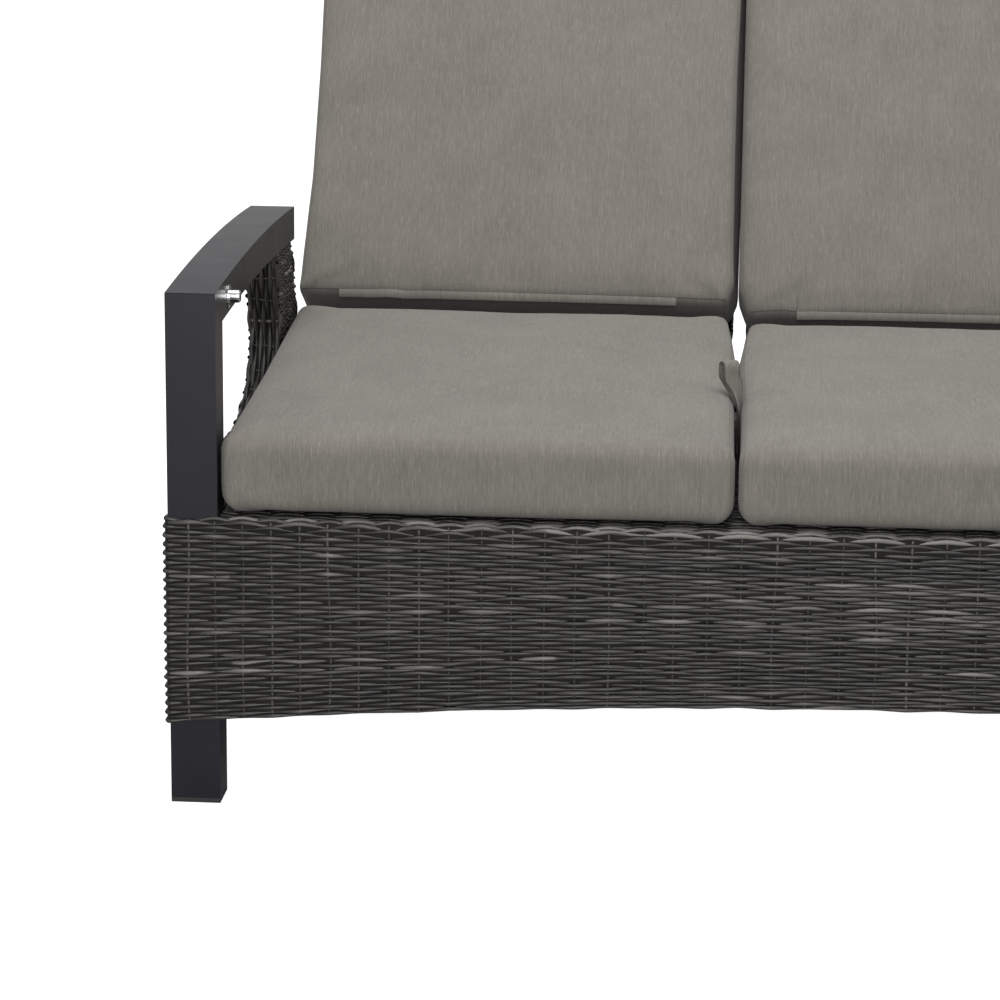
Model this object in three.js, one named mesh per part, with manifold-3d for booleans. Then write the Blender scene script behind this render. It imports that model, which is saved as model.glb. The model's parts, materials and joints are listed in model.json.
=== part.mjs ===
// Rattan garden sofa with three reclining backs. Millimetres, +Z up, +Y towards the back, X across the sofa.
import * as THREE from "three";
import { mergeVertices } from "three/addons/utils/BufferGeometryUtils.js";
import Module from "manifold-3d";

const wasm = await Module();
wasm.setup();

// Driving dimensions of the whole sofa
const seatCount = 3;
const seatPitch = 615;
const frameDepth = 790;
const fitGap = 0.3;
const cutOverrun = 5;

// Legs and arm rails
const armWidth = 60;
const legDepth = 53;
const tubeWall = 2.5;
const armLength = 674;
const armFrontHeight = 627;
const armRearLift = 6.5;
const armRise = 9.5;
const armThickness = 45;
const footHeight = 6;
const footPlugHeight = 16;

// Woven base
const rimHeight = 357;
const deckThickness = 7;
const weaveThickness = 4.7;
const baseBottom = 100;
const frontArchRise = 45;
const sideArchRise = 18;

// Woven arm supports and the stays inside them
const supportThickness = 44;
const supportFrontShare = [
  [0.742, 1], [0.757, 0.796], [0.78, 0.672], [0.8, 0.549], [0.794, 0.438],
  [0.758, 0.285], [0.693, 0.183], [0.545, 0.077], [0.49, 0],
];
const supportRearShare = [[1.128, 0], [1.075, 0.27], [1.049, 0.48], [1.009, 0.79], [0.958, 1]];
const stayWidth = 25;
const stayDepth = 50;
const staySetback = 99;

// Rails inside the base
const railSize = 30;
const railWall = 2;
const frontRailSetback = 8;
const deckRearGap = 80;
const crossRailInset = 27;
const springBeamSetback = 48;
const rearRailTop = 285;
const rearRailSetback = 2;
const lowerRailDepth = 15;
const lowerRailHeight = 20;
const lowerRailLift = 3;

// Seat cushions
const seatCushionGap = 7;
const seatCushionStart = 2;
const seatCushionRearGap = 50;
const seatCushionHeight = 100;
const seatRearRise = 42;
const seatCrown = 9;
const seatEdgeRadius = 32;
const seatDrawIn = 3;

// Reclining backs, measured in each back's own plane from its pivot
const pivotSetback = 40;
const pivotHeight = 400;
const restRecline = 31;
const backFrameGap = 30;
const backFrameHeight = 628;
const backFrameStart = 12;
const backFrameSetback = 13;
const backTube = 25;
const backCornerRadius = 60;
const backWeaveStart = 3;
const backCushionGap = 8;
const backCushionHeight = 600;
const backCushionStart = 60;
const backCushionThickness = 110;
const backCrown = 10;
const backEdgeRadius = 30;
const backDrawIn = 7;

// Hinges of the backs
const lugInset = 70;
const lugRadius = 12;
const lugThickness = 6;
const lugReach = 25;
const bracketRadius = 14;
const bracketThickness = 6;
const bracketSideGap = 0.9;
const bracketFoot = 322;
const bracketFootDepth = 18;
const weldDepth = 1;
const axleRadius = 6;
const axleClearance = 0.4;
const axleHeadRadius = 9;
const axleHeadThickness = 3;

// Gas springs and their levers
const leverLength = 95;
const leverEndRadius = 11;
const springPinRadius = 4;
const springPinPlay = 2.6;
const barrelRadius = 11;
const barrelReach = 230;
const barrelEndWall = 50;
const rodRadius = 4;
const rodClearance = 0.4;
const rodGap = 150;
const forkWidth = 18;
const forkSlot = 8;
const forkHeight = 22;
const forkLength = 32;
const leverSwingGap = 4.6;
const forkReach = 10;
const springLength = 412;
const springEyeRadius = 9;
const springEyeThickness = 8;
const springPlateThickness = 4;
const springPlateRadius = 12;
const springPlateDepth = 15;
const springBoltHeadRadius = 7;
const springBoltHeadThickness = 4;
const releaseHeadSize = 14;
const releaseHeadLength = 20;

// Push buttons on the arm rails
const buttonDepth = 97;
const buttonDrop = 25;
const buttonRadius = 7.75;
const buttonReach = 15;
const buttonEdge = 1.5;
const buttonFlangeRadius = 9;
const buttonFlangeThickness = 2;
const buttonClearance = 0.3;
const collarRadius = 14.5;
const collarThickness = 1.5;
const collarSleeveRadius = 10;
const collarSleeveLength = 11;

// Release loop between the first and second seat cushions
const loopDepth = 260;
const loopWidth = 22;
const loopStem = 2.6;
const loopFoot = 338;
const loopNeck = 470;
const loopTop = 508;
const loopHalfWidth = 10;
const loopBand = 2.4;

// Release cables
const cableRadius = 2;
const cableHoleRadius = 3.2;
const cableHoleHeight = 300;
const cableTurn = 150;
const cableSlack = 30;

// Sizes that follow from the ones above
const halfWidth = (seatCount * seatPitch) / 2 + armWidth;
const innerHalf = halfWidth - armWidth;
const armRearHeight = armFrontHeight + armRearLift;
const stayStart = armLength - staySetback;
const deckDepth = frameDepth - deckRearGap;
const seatCushionEnd = deckDepth - seatCushionRearGap;
const pivotDepth = frameDepth - pivotSetback;
const backFrameWidth = seatPitch - backFrameGap;
const barrelStart = pivotDepth - barrelReach;
const barrelBoreEnd = pivotDepth - barrelEndWall;
const rodEnd = pivotDepth - rodGap;
const springEyeDepth = pivotDepth - springLength;
const springBeamStart = springEyeDepth - springBeamSetback;
const deckBottom = rimHeight - deckThickness;
const railTop = deckBottom - fitGap;
const railBottom = railTop - railSize;
const sideRailOuter = halfWidth - (armWidth - railSize) / 2;
const sideRailInner = sideRailOuter - railSize;
const crossRailCentre = seatPitch / 2 - crossRailInset;
const springHeight = pivotHeight - leverLength;
const lugX = backFrameWidth / 2 - lugInset;
const bracketOffset = lugThickness / 2 + bracketSideGap;
const buttonHeight = armTop(buttonDepth) - buttonDrop;
const seamX = -seatPitch / 2;
const roundSegments = 16;
const sides = [["left", -1], ["right", 1]];
const seats = [["left", -seatPitch], ["middle", 0], ["right", seatPitch]];

function armTop(y) {
  const t = y / armLength;
  return armFrontHeight + (armRearHeight - armFrontHeight) * t + 4 * armRise * t * (1 - t);
}

function armSlope(y) {
  return (armRearHeight - armFrontHeight + 4 * armRise * (1 - (2 * y) / armLength)) / armLength;
}

// Each mesh has its own material
const finishes = {
  paint: { color: 0x34353a, roughness: 0.55, metalness: 0.4 },
  weave: { color: 0x4a4744, roughness: 0.8, metalness: 0 },
  fabric: { color: 0x8d8780, roughness: 0.95, metalness: 0 },
  steel: { color: 0x9a9c9f, roughness: 0.4, metalness: 0.9 },
  chrome: { color: 0xd8d9db, roughness: 0.15, metalness: 1 },
  rubber: { color: 0x151515, roughness: 0.8, metalness: 0 },
};

function piece(parent, name, geometry, finish) {
  const mesh = new THREE.Mesh(geometry, new THREE.MeshStandardMaterial(finishes[finish]));
  mesh.name = name;
  parent.add(mesh);
  return mesh;
}

function toSolid(geometry) {
  const bare = geometry.clone();
  bare.deleteAttribute("normal");
  bare.deleteAttribute("uv");
  const merged = mergeVertices(bare);
  const mesh = new wasm.Mesh({
    numProp: 3,
    vertProperties: new Float32Array(merged.attributes.position.array),
    triVerts: new Uint32Array(merged.index.array),
  });
  return new wasm.Manifold(mesh);
}

function toGeometry(solid) {
  const mesh = solid.getMesh();
  const geometry = new THREE.BufferGeometry();
  geometry.setAttribute("position", new THREE.BufferAttribute(new Float32Array(mesh.vertProperties), 3));
  geometry.setIndex(new THREE.BufferAttribute(new Uint32Array(mesh.triVerts), 1));
  geometry.computeVertexNormals();
  return geometry;
}

function cut(geometry, ...tools) {
  return toGeometry(tools.reduce((solid, tool) => solid.subtract(toSolid(tool)), toSolid(geometry)));
}

function join(...geometries) {
  return toGeometry(geometries.map(toSolid).reduce((whole, next) => whole.add(next)));
}

// A box between two corners
function block(low, high) {
  const box = new THREE.BoxGeometry(high[0] - low[0], high[1] - low[1], high[2] - low[2]);
  return box.translate((low[0] + high[0]) / 2, (low[1] + high[1]) / 2, (low[2] + high[2]) / 2);
}

// A rectangular tube between two corners, open at both ends of its axis
function tube(low, high, axis, wall) {
  const innerLow = low.map((value, i) => (i === axis ? value - cutOverrun : value + wall));
  const innerHigh = high.map((value, i) => (i === axis ? value + cutOverrun : value - wall));
  return cut(block(low, high), block(innerLow, innerHigh));
}

// A shape drawn in Y and Z, given a thickness across X
function across(shape, x, thickness, curveSegments = 4) {
  const geometry = new THREE.ExtrudeGeometry(shape, { depth: thickness, bevelEnabled: false, curveSegments });
  const toYZ = new THREE.Matrix4().set(0, 0, 1, x, 1, 0, 0, 0, 0, 1, 0, 0, 0, 0, 0, 1);
  return geometry.applyMatrix4(toYZ);
}

// A shape drawn in X and Z, given a depth along Y
function along(shape, y, depth, curveSegments = 4) {
  const geometry = new THREE.ExtrudeGeometry(shape, { depth, bevelEnabled: false, curveSegments });
  return geometry.rotateX(Math.PI / 2).translate(0, y + depth, 0);
}

// A turned piece whose axis lies along X, from [radius, distance] pairs
function turnedAcross(profile, centre, direction = 1) {
  const points = profile.map(([radius, distance]) => new THREE.Vector2(radius, distance));
  const geometry = new THREE.LatheGeometry(points, roundSegments);
  geometry.rotateZ(-Math.PI / 2);
  if (direction < 0) geometry.rotateY(Math.PI);
  return geometry.translate(...centre);
}

function rodAcross(radius, x0, x1, y, z) {
  const geometry = new THREE.CylinderGeometry(radius, radius, x1 - x0, roundSegments);
  return geometry.rotateZ(Math.PI / 2).translate((x0 + x1) / 2, y, z);
}

function rodDeep(radius, y0, y1, x, z) {
  const geometry = new THREE.CylinderGeometry(radius, radius, y1 - y0, roundSegments);
  return geometry.translate(x, (y0 + y1) / 2, z);
}

// Two round ends joined by straight sides
function link(from, to, radius) {
  const angle = Math.atan2(to[1] - from[1], to[0] - from[0]);
  const quarter = Math.PI / 2;
  const shape = new THREE.Shape();
  shape.absarc(to[0], to[1], radius, angle - quarter, angle + quarter, false);
  shape.absarc(from[0], from[1], radius, angle + quarter, angle + 3 * quarter, false);
  return shape;
}

function roundedRectangle(x0, z0, width, height, radius) {
  const shape = new THREE.Shape();
  const quarter = Math.PI / 2;
  shape.absarc(x0 + width - radius, z0 + radius, radius, -quarter, 0, false);
  shape.absarc(x0 + width - radius, z0 + height - radius, radius, 0, quarter, false);
  shape.absarc(x0 + radius, z0 + height - radius, radius, quarter, 2 * quarter, false);
  shape.absarc(x0 + radius, z0 + radius, radius, 2 * quarter, 3 * quarter, false);
  return shape;
}

// Bolts and pins with a head at each end, along X
function rivet(x0, x1, y, z, radius, headRadius, headThickness) {
  const profile = [
    [0, x0 - headThickness], [headRadius, x0 - headThickness], [headRadius, x0], [radius, x0],
    [radius, x1], [headRadius, x1], [headRadius, x1 + headThickness], [0, x1 + headThickness],
  ];
  return turnedAcross(profile, [0, y, z]);
}

// The arm rail's upper or lower line, between two depths
function armLine(shape, y0, y1, drop) {
  const middle = (y0 + y1) / 2;
  const control = armTop(y0) + (armSlope(y0) * (y1 - y0)) / 2;
  shape.quadraticCurveTo(middle, control - drop, y1, armTop(y1) - drop);
}

function armRail(side) {
  const outline = new THREE.Shape();
  outline.moveTo(0, armTop(0));
  armLine(outline, 0, armLength, 0);
  outline.lineTo(armLength, armTop(armLength) - armThickness);
  armLine(outline, armLength, legDepth, armThickness);
  const hollowEnd = armLength - tubeWall;
  const hollowStart = legDepth - tubeWall;
  const inside = new THREE.Shape();
  inside.moveTo(tubeWall, armTop(tubeWall) - tubeWall);
  armLine(inside, tubeWall, hollowEnd, tubeWall);
  inside.lineTo(hollowEnd, armTop(hollowEnd) - armThickness + tubeWall);
  armLine(inside, hollowEnd, hollowStart, armThickness - tubeWall);
  inside.lineTo(hollowStart, armTop(0) - armThickness - cutOverrun);
  inside.lineTo(tubeWall, armTop(0) - armThickness - cutOverrun);
  const x0 = side < 0 ? -halfWidth : innerHalf;
  const inner = side < 0 ? -innerHalf : innerHalf;
  const hole = rodAcross(
    collarSleeveRadius + fitGap, inner - tubeWall - cutOverrun, inner + tubeWall + cutOverrun,
    buttonDepth, buttonHeight,
  );
  return cut(
    across(outline, x0, armWidth, 12),
    across(inside, x0 + tubeWall, armWidth - 2 * tubeWall, 12),
    hole,
  );
}

function frontLeg(side) {
  const x0 = side < 0 ? -halfWidth : innerHalf;
  const outline = new THREE.Shape();
  outline.moveTo(0, footHeight + fitGap);
  outline.lineTo(legDepth, footHeight + fitGap);
  outline.lineTo(legDepth, armTop(legDepth) - armThickness - 2 * fitGap);
  outline.lineTo(0, armTop(0) - 2 * fitGap);
  const inside = block(
    [x0 + tubeWall, tubeWall, -cutOverrun],
    [x0 + armWidth - tubeWall, legDepth - tubeWall, armFrontHeight + cutOverrun],
  );
  const inner = side < 0 ? -innerHalf : innerHalf;
  const cableHole = rodAcross(
    cableHoleRadius, inner - tubeWall - cutOverrun, inner + tubeWall + cutOverrun,
    legDepth / 2, cableHoleHeight,
  );
  return cut(across(outline, x0, armWidth), inside, cableHole);
}

function footCap(x0, y0) {
  const inset = tubeWall + fitGap;
  const plate = block([x0, y0, 0], [x0 + armWidth, y0 + legDepth, footHeight]);
  const plug = block(
    [x0 + inset, y0 + inset, footHeight / 2],
    [x0 + armWidth - inset, y0 + legDepth - inset, footHeight + footPlugHeight],
  );
  return join(plate, plug);
}

function armSupport(side) {
  const underside = (y) => armTop(y) - armThickness - fitGap;
  const low = rimHeight + fitGap;
  const place = ([depth, rise]) => {
    const y = depth * armLength;
    return new THREE.Vector2(y, low + rise * (underside(y) - low));
  };
  const front = supportFrontShare.map(place);
  const rear = supportRearShare.map(place);
  const outline = new THREE.Shape();
  outline.moveTo(front[0].x, front[0].y);
  outline.splineThru(front.slice(1));
  outline.lineTo(rear[0].x, rear[0].y);
  outline.splineThru(rear.slice(1));
  const x0 = side < 0 ? -innerHalf - supportThickness : innerHalf;
  const stayX = side * (innerHalf + supportThickness / 2);
  const channel = block(
    [stayX - stayWidth / 2 - fitGap, stayStart - fitGap, rimHeight - cutOverrun],
    [stayX + stayWidth / 2 + fitGap, stayStart + stayDepth + fitGap, armFrontHeight + cutOverrun],
  );
  return cut(across(outline, x0, supportThickness, 3), channel);
}

function armStay(side) {
  const stayX = side * (innerHalf + supportThickness / 2);
  const top = Math.min(armTop(stayStart), armTop(stayStart + stayDepth)) - armThickness - fitGap;
  return tube(
    [stayX - stayWidth / 2, stayStart, railTop + fitGap],
    [stayX + stayWidth / 2, stayStart + stayDepth, top],
    2, railWall,
  );
}

// The lower edge of a woven panel rises in one arc between its ends
function archedPanel(start, end, rise, top) {
  const middle = (start + end) / 2;
  const shape = new THREE.Shape();
  shape.moveTo(start, top);
  shape.lineTo(start, baseBottom);
  shape.quadraticCurveTo(middle, baseBottom + 2 * rise, end, baseBottom);
  shape.lineTo(end, top);
  return shape;
}

function sideWeave(side) {
  const outer = side < 0 ? -halfWidth - fitGap - weaveThickness : halfWidth + fitGap;
  const panel = across(archedPanel(0, frameDepth, sideArchRise, rimHeight), outer, weaveThickness, 12);
  const inner = side * innerHalf;
  const reach = side * (halfWidth + fitGap + weaveThickness / 2);
  const rim = block(
    [Math.min(inner, reach), legDepth + fitGap, deckBottom],
    [Math.max(inner, reach), frameDepth, rimHeight],
  );
  const stayX = side * (innerHalf + supportThickness / 2);
  const stayHole = block(
    [stayX - stayWidth / 2 - fitGap, stayStart - fitGap, deckBottom - cutOverrun],
    [stayX + stayWidth / 2 + fitGap, stayStart + stayDepth + fitGap, rimHeight + cutOverrun],
  );
  return cut(join(panel, rim), stayHole);
}

function lowerRail(y0) {
  const end = innerHalf - fitGap;
  const low = (x) => baseBottom + lowerRailLift + frontArchRise * (1 - (x / halfWidth) ** 2);
  const crown = 2 * low(0) - low(end);
  const shape = new THREE.Shape();
  shape.moveTo(-end, low(end));
  shape.quadraticCurveTo(0, crown, end, low(end));
  shape.lineTo(end, low(end) + lowerRailHeight);
  shape.quadraticCurveTo(0, crown + lowerRailHeight, -end, low(end) + lowerRailHeight);
  return along(shape, y0, lowerRailDepth, 14);
}

function seatDeck() {
  const end = innerHalf - fitGap;
  const deck = block([-end, 0, deckBottom], [end, deckDepth, rimHeight]);
  const slotHalf = [loopStem / 2 + 1.5 * fitGap, loopWidth / 2 + 3 * fitGap];
  const slot = block(
    [seamX - slotHalf[0], loopDepth - slotHalf[1], deckBottom - cutOverrun],
    [seamX + slotHalf[0], loopDepth + slotHalf[1], rimHeight + cutOverrun],
  );
  return cut(deck, slot);
}

// A padded box: rounded edges, a crown on one face and sides that draw in between the corners
function cushion({ width, depth, height, radius, crown, drawIn, rearRise = 0, grid }) {
  const geometry = new THREE.BoxGeometry(2, 2, 2, ...grid);
  const position = geometry.attributes.position;
  const half = new THREE.Vector3(width / 2, depth / 2, height / 2);
  const inner = half.clone().subScalar(radius);
  const point = new THREE.Vector3();
  for (let i = 0; i < position.count; i++) {
    const share = new THREE.Vector3().fromBufferAttribute(position, i);
    for (const axis of ["x", "y", "z"]) share[axis] = Math.sin((share[axis] * Math.PI) / 2);
    point.copy(share).multiply(half);
    const core = point.clone().clamp(inner.clone().negate(), inner);
    point.sub(core).setLength(radius).add(core);
    const { x: a, y: b, z: c } = share;
    const top = (c + 1) / 2;
    point.z += top * (crown * (1 - a * a) * (1 - b * b) + (rearRise * (b + 1)) / 2);
    point.x -= a ** 3 * drawIn * (1 - b * b);
    point.y -= b ** 3 * drawIn * (1 - a * a);
    position.setXYZ(i, point.x, point.y, point.z);
  }
  geometry.computeVertexNormals();
  return geometry;
}

function seatCushion(x) {
  const depth = seatCushionEnd - seatCushionStart;
  const shape = cushion({
    width: seatPitch - seatCushionGap,
    depth,
    height: seatCushionHeight,
    radius: seatEdgeRadius,
    crown: seatCrown,
    drawIn: seatDrawIn,
    rearRise: seatRearRise,
    grid: [11, 11, 4],
  });
  return shape.translate(x, seatCushionStart + depth / 2, rimHeight + fitGap + seatCushionHeight / 2);
}

// Pieces of one back, in its own plane: Y runs behind it and Z up it, from the pivot
function backFrame() {
  const outer = roundedRectangle(
    -backFrameWidth / 2, backFrameStart, backFrameWidth, backFrameHeight, backCornerRadius,
  );
  const hole = roundedRectangle(
    -backFrameWidth / 2 + backTube, backFrameStart + backTube,
    backFrameWidth - 2 * backTube, backFrameHeight - 2 * backTube, backCornerRadius - backTube,
  );
  outer.holes.push(hole);
  return cut(join(along(outer, backFrameSetback, backTube, 3), ...hingeArms()), axleBore(0, 0, 0));
}

function backWeave() {
  const grow = weaveThickness + fitGap;
  const skin = along(
    roundedRectangle(
      -backFrameWidth / 2 - grow, backFrameStart - grow,
      backFrameWidth + 2 * grow, backFrameHeight + 2 * grow, backCornerRadius + grow,
    ),
    backFrameSetback + backWeaveStart,
    backTube - backWeaveStart + grow,
    3,
  );
  const pocket = along(
    roundedRectangle(
      -backFrameWidth / 2 - fitGap, backFrameStart - fitGap,
      backFrameWidth + 2 * fitGap, backFrameHeight + 2 * fitGap, backCornerRadius + fitGap,
    ),
    backFrameSetback - cutOverrun,
    backTube + cutOverrun + fitGap,
    3,
  );
  return cut(skin, pocket);
}

function backCushion() {
  const shape = cushion({
    width: seatPitch - backCushionGap,
    depth: backCushionHeight,
    height: backCushionThickness,
    radius: backEdgeRadius,
    crown: backCrown,
    drawIn: backDrawIn,
    grid: [11, 11, 4],
  });
  shape.rotateX(Math.PI / 2);
  return shape.translate(
    0,
    backFrameSetback - fitGap - backCushionThickness / 2,
    backCushionStart + backCushionHeight / 2,
  );
}

// Two lugs and the gas spring's lever, which are welded to the lower tube
function hingeArms() {
  const lean = backFrameSetback + weldDepth - lugRadius;
  const lugTop = [lean, lugReach];
  const angle = THREE.MathUtils.degToRad(restRecline);
  const end = [leverLength * Math.sin(angle), -leverLength * Math.cos(angle)];
  const lug = (x) => across(link([0, 0], lugTop, lugRadius), x - lugThickness / 2, lugThickness);
  return [
    lug(-lugX),
    lug(lugX),
    lug(0),
    across(link([0, 0], end, leverEndRadius), -lugThickness / 2, lugThickness),
    rodAcross(springPinRadius, -forkWidth / 2, forkWidth / 2, end[0], end[1]),
  ];
}

function axleBore(x, y, z) {
  return rodAcross(axleRadius + axleClearance, x - backFrameWidth / 2, x + backFrameWidth / 2, y, z);
}

// An ear of the deck's rear rail that carries one end of a hinge axle
function pivotBracket(x) {
  const rail = deckDepth - weldDepth;
  const shape = new THREE.Shape();
  shape.moveTo(rail, bracketFoot);
  shape.lineTo(rail + bracketFootDepth, bracketFoot);
  shape.lineTo(pivotDepth + bracketRadius, pivotHeight);
  shape.absarc(pivotDepth, pivotHeight, bracketRadius, 0, Math.PI, false);
  shape.lineTo(deckDepth + bracketRadius / 2, rimHeight);
  shape.lineTo(deckDepth + bracketRadius / 2, railTop);
  shape.lineTo(rail, railTop);
  return across(shape, x, bracketThickness);
}

function pivotRail() {
  const end = sideRailInner - fitGap;
  const rail = tube([-end, deckDepth - railSize, railBottom], [end, deckDepth, railTop], 0, railWall);
  const ears = seats.flatMap(([, x]) => [
    pivotBracket(x - lugX - bracketOffset - bracketThickness),
    pivotBracket(x + lugX + bracketOffset),
  ]);
  const bores = seats.map(([, x]) => axleBore(x, pivotDepth, pivotHeight));
  return cut(join(rail, ...ears), ...bores);
}

function hingeAxle(x) {
  const reach = lugX + bracketOffset + bracketThickness + fitGap;
  return rivet(
    x - reach, x + reach, pivotDepth, pivotHeight, axleRadius, axleHeadRadius, axleHeadThickness,
  );
}

// Two plates with a bolt between them, welded behind the spring beam
function springClevis(x) {
  const rail = springBeamStart + railSize - weldDepth;
  const shape = new THREE.Shape();
  shape.moveTo(rail, railTop);
  shape.lineTo(rail, railBottom + weldDepth);
  shape.lineTo(springBeamStart + railSize + fitGap, springHeight + springPlateRadius / 2);
  shape.lineTo(springEyeDepth - springPlateRadius, springHeight);
  shape.absarc(springEyeDepth, springHeight, springPlateRadius, Math.PI, 2 * Math.PI, false);
  shape.lineTo(rail + springPlateDepth, railTop);
  const reach = springEyeThickness / 2 + fitGap;
  return [
    across(shape, x - reach - springPlateThickness, springPlateThickness),
    across(shape, x + reach, springPlateThickness),
    rivet(
      x - reach - springPlateThickness, x + reach + springPlateThickness,
      springEyeDepth, springHeight, springPinRadius, springBoltHeadRadius, springBoltHeadThickness,
    ),
  ];
}

function springBeam() {
  const end = sideRailInner - fitGap;
  const beam = tube(
    [-end, springBeamStart, railBottom], [end, springBeamStart + railSize, railTop], 0, railWall,
  );
  return join(beam, ...seats.flatMap(([, x]) => springClevis(x)));
}

function springRod(x) {
  const eye = rodAcross(
    springEyeRadius, x - springEyeThickness / 2, x + springEyeThickness / 2, springEyeDepth, springHeight,
  );
  const headStart = springEyeDepth + springPlateRadius + 2 * fitGap;
  const half = releaseHeadSize / 2;
  const head = block(
    [x - half, headStart, springHeight - half],
    [x + half, headStart + releaseHeadLength, springHeight + half],
  );
  const neck = rodDeep(rodRadius, springEyeDepth, headStart + releaseHeadLength / 2, x, springHeight);
  const rod = rodDeep(rodRadius, headStart + releaseHeadLength / 2, rodEnd, x, springHeight);
  const bore = rodAcross(
    springPinRadius + fitGap, x - springEyeThickness, x + springEyeThickness, springEyeDepth, springHeight,
  );
  return cut(join(eye, neck, head, rod), bore);
}

function springCylinder(x) {
  const forkStart = pivotDepth + forkReach - forkLength;
  const barrel = rodDeep(barrelRadius, barrelStart, forkStart + fitGap, x, springHeight);
  const fork = block(
    [x - forkWidth / 2, forkStart, springHeight - forkHeight / 2],
    [x + forkWidth / 2, pivotDepth + forkReach, springHeight + forkHeight / 2],
  );
  const slot = block(
    [x - forkSlot / 2, pivotDepth - leverEndRadius - leverSwingGap, springHeight - forkHeight],
    [x + forkSlot / 2, pivotDepth + forkLength, springHeight + forkHeight],
  );
  const pinHole = rodAcross(
    springPinRadius + springPinPlay, x - forkWidth, x + forkWidth,
    pivotDepth, springHeight + springPinPlay - 2 * fitGap,
  );
  const bore = rodDeep(rodRadius + rodClearance, barrelStart - cutOverrun, barrelBoreEnd, x, springHeight);
  return cut(join(barrel, fork), slot, pinHole, bore);
}

// Button and collar, drawn outwards from the rail's inner face
function buttonCollar(side) {
  const bore = buttonRadius + buttonClearance;
  const profile = [
    [bore, fitGap], [bore, fitGap + collarThickness], [collarRadius, fitGap + collarThickness],
    [collarRadius, fitGap], [collarSleeveRadius, fitGap], [collarSleeveRadius, -collarSleeveLength],
    [bore, -collarSleeveLength], [bore, fitGap],
  ];
  return turnedAcross(profile.reverse(), [side * innerHalf, buttonDepth, buttonHeight], -side);
}

function pushButton(side) {
  const back = -collarSleeveLength - fitGap;
  const profile = [
    [0, back - buttonFlangeThickness], [buttonFlangeRadius, back - buttonFlangeThickness],
    [buttonFlangeRadius, back], [buttonRadius, back], [buttonRadius, buttonReach - buttonEdge],
    [buttonRadius - buttonEdge, buttonReach], [0, buttonReach],
  ];
  return turnedAcross(profile, [side * innerHalf, buttonDepth, buttonHeight], -side);
}

// A strap folded into a finger loop that stands above the cushions
function releaseLoop() {
  const stem = loopStem / 2;
  const middle = (loopNeck + loopTop) / 2;
  const shape = new THREE.Shape();
  shape.moveTo(-stem, loopFoot);
  shape.lineTo(stem, loopFoot);
  shape.lineTo(stem, loopNeck);
  shape.quadraticCurveTo(stem, middle - loopHalfWidth, loopHalfWidth, middle);
  shape.quadraticCurveTo(loopHalfWidth, loopTop, 0, loopTop);
  shape.quadraticCurveTo(-loopHalfWidth, loopTop, -loopHalfWidth, middle);
  shape.quadraticCurveTo(-stem, middle - loopHalfWidth, -stem, loopNeck);
  const eyeHalf = loopHalfWidth - loopBand;
  const eye = new THREE.Path();
  eye.moveTo(0, middle - loopHalfWidth + loopBand);
  eye.quadraticCurveTo(-eyeHalf, middle - loopBand, -eyeHalf, middle);
  eye.quadraticCurveTo(-eyeHalf, loopTop - loopBand, 0, loopTop - loopBand);
  eye.quadraticCurveTo(eyeHalf, loopTop - loopBand, eyeHalf, middle);
  eye.quadraticCurveTo(eyeHalf, middle - loopBand, 0, middle - loopHalfWidth + loopBand);
  shape.holes.push(eye);
  return along(shape, loopDepth - loopWidth / 2, loopWidth, 4).translate(seamX, 0, 0);
}

function cable(points, steps) {
  const path = new THREE.CatmullRomCurve3(points.map((point) => new THREE.Vector3(...point)), false, "centripetal");
  const section = new THREE.Shape();
  section.absarc(0, 0, cableRadius, 0, 2 * Math.PI, false);
  return new THREE.ExtrudeGeometry(section, { extrudePath: path, steps, curveSegments: 4, bevelEnabled: false });
}

const sofa = new THREE.Group();

for (const [name, side] of sides) {
  const x0 = side < 0 ? -halfWidth : innerHalf;
  piece(sofa, `${name}_front_leg`, frontLeg(side), "paint");
  const rearLeg = tube(
    [x0, frameDepth - legDepth, footHeight + fitGap],
    [x0 + armWidth, frameDepth, deckBottom - fitGap],
    2, tubeWall,
  );
  piece(sofa, `${name}_rear_leg`, rearLeg, "paint");
  piece(sofa, `${name}_front_foot_cap`, footCap(x0, 0), "rubber");
  piece(sofa, `${name}_rear_foot_cap`, footCap(x0, frameDepth - legDepth), "rubber");
  piece(sofa, `${name}_arm_rail`, armRail(side), "paint");
  piece(sofa, `${name}_arm_stay`, armStay(side), "paint");
  piece(sofa, `${name}_arm_weave`, armSupport(side), "weave");
  piece(sofa, `${name}_side_weave`, sideWeave(side), "weave");
  const railX = side < 0 ? -sideRailOuter : sideRailInner;
  const sideRail = tube(
    [railX, legDepth + fitGap, railBottom],
    [railX + railSize, frameDepth - legDepth - fitGap, railTop],
    1, railWall,
  );
  piece(sofa, `${name}_side_rail`, sideRail, "paint");
  const crossX = side * crossRailCentre;
  const crossRail = tube(
    [crossX - railSize / 2, springBeamStart + railSize + fitGap, railBottom],
    [crossX + railSize / 2, deckDepth - railSize - fitGap, railTop],
    1, railWall,
  );
  piece(sofa, `${name}_cross_rail`, crossRail, "paint");
  piece(sofa, `${name}_button_collar`, buttonCollar(side), "chrome");
  piece(sofa, `${name}_button`, pushButton(side), "chrome");
}

const railEnd = innerHalf - fitGap;
const frontRail = tube(
  [-railEnd, frontRailSetback, railBottom], [railEnd, frontRailSetback + railSize, railTop], 0, railWall,
);
piece(sofa, "front_rail", frontRail, "paint");
piece(sofa, "deck_rear_rail", pivotRail(), "paint");
piece(sofa, "spring_beam", springBeam(), "paint");
const rearRailY = frameDepth - rearRailSetback - railSize;
const rearRail = tube(
  [-railEnd, rearRailY, rearRailTop - railSize], [railEnd, rearRailY + railSize, rearRailTop], 0, railWall,
);
piece(sofa, "rear_rail", rearRail, "paint");

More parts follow.
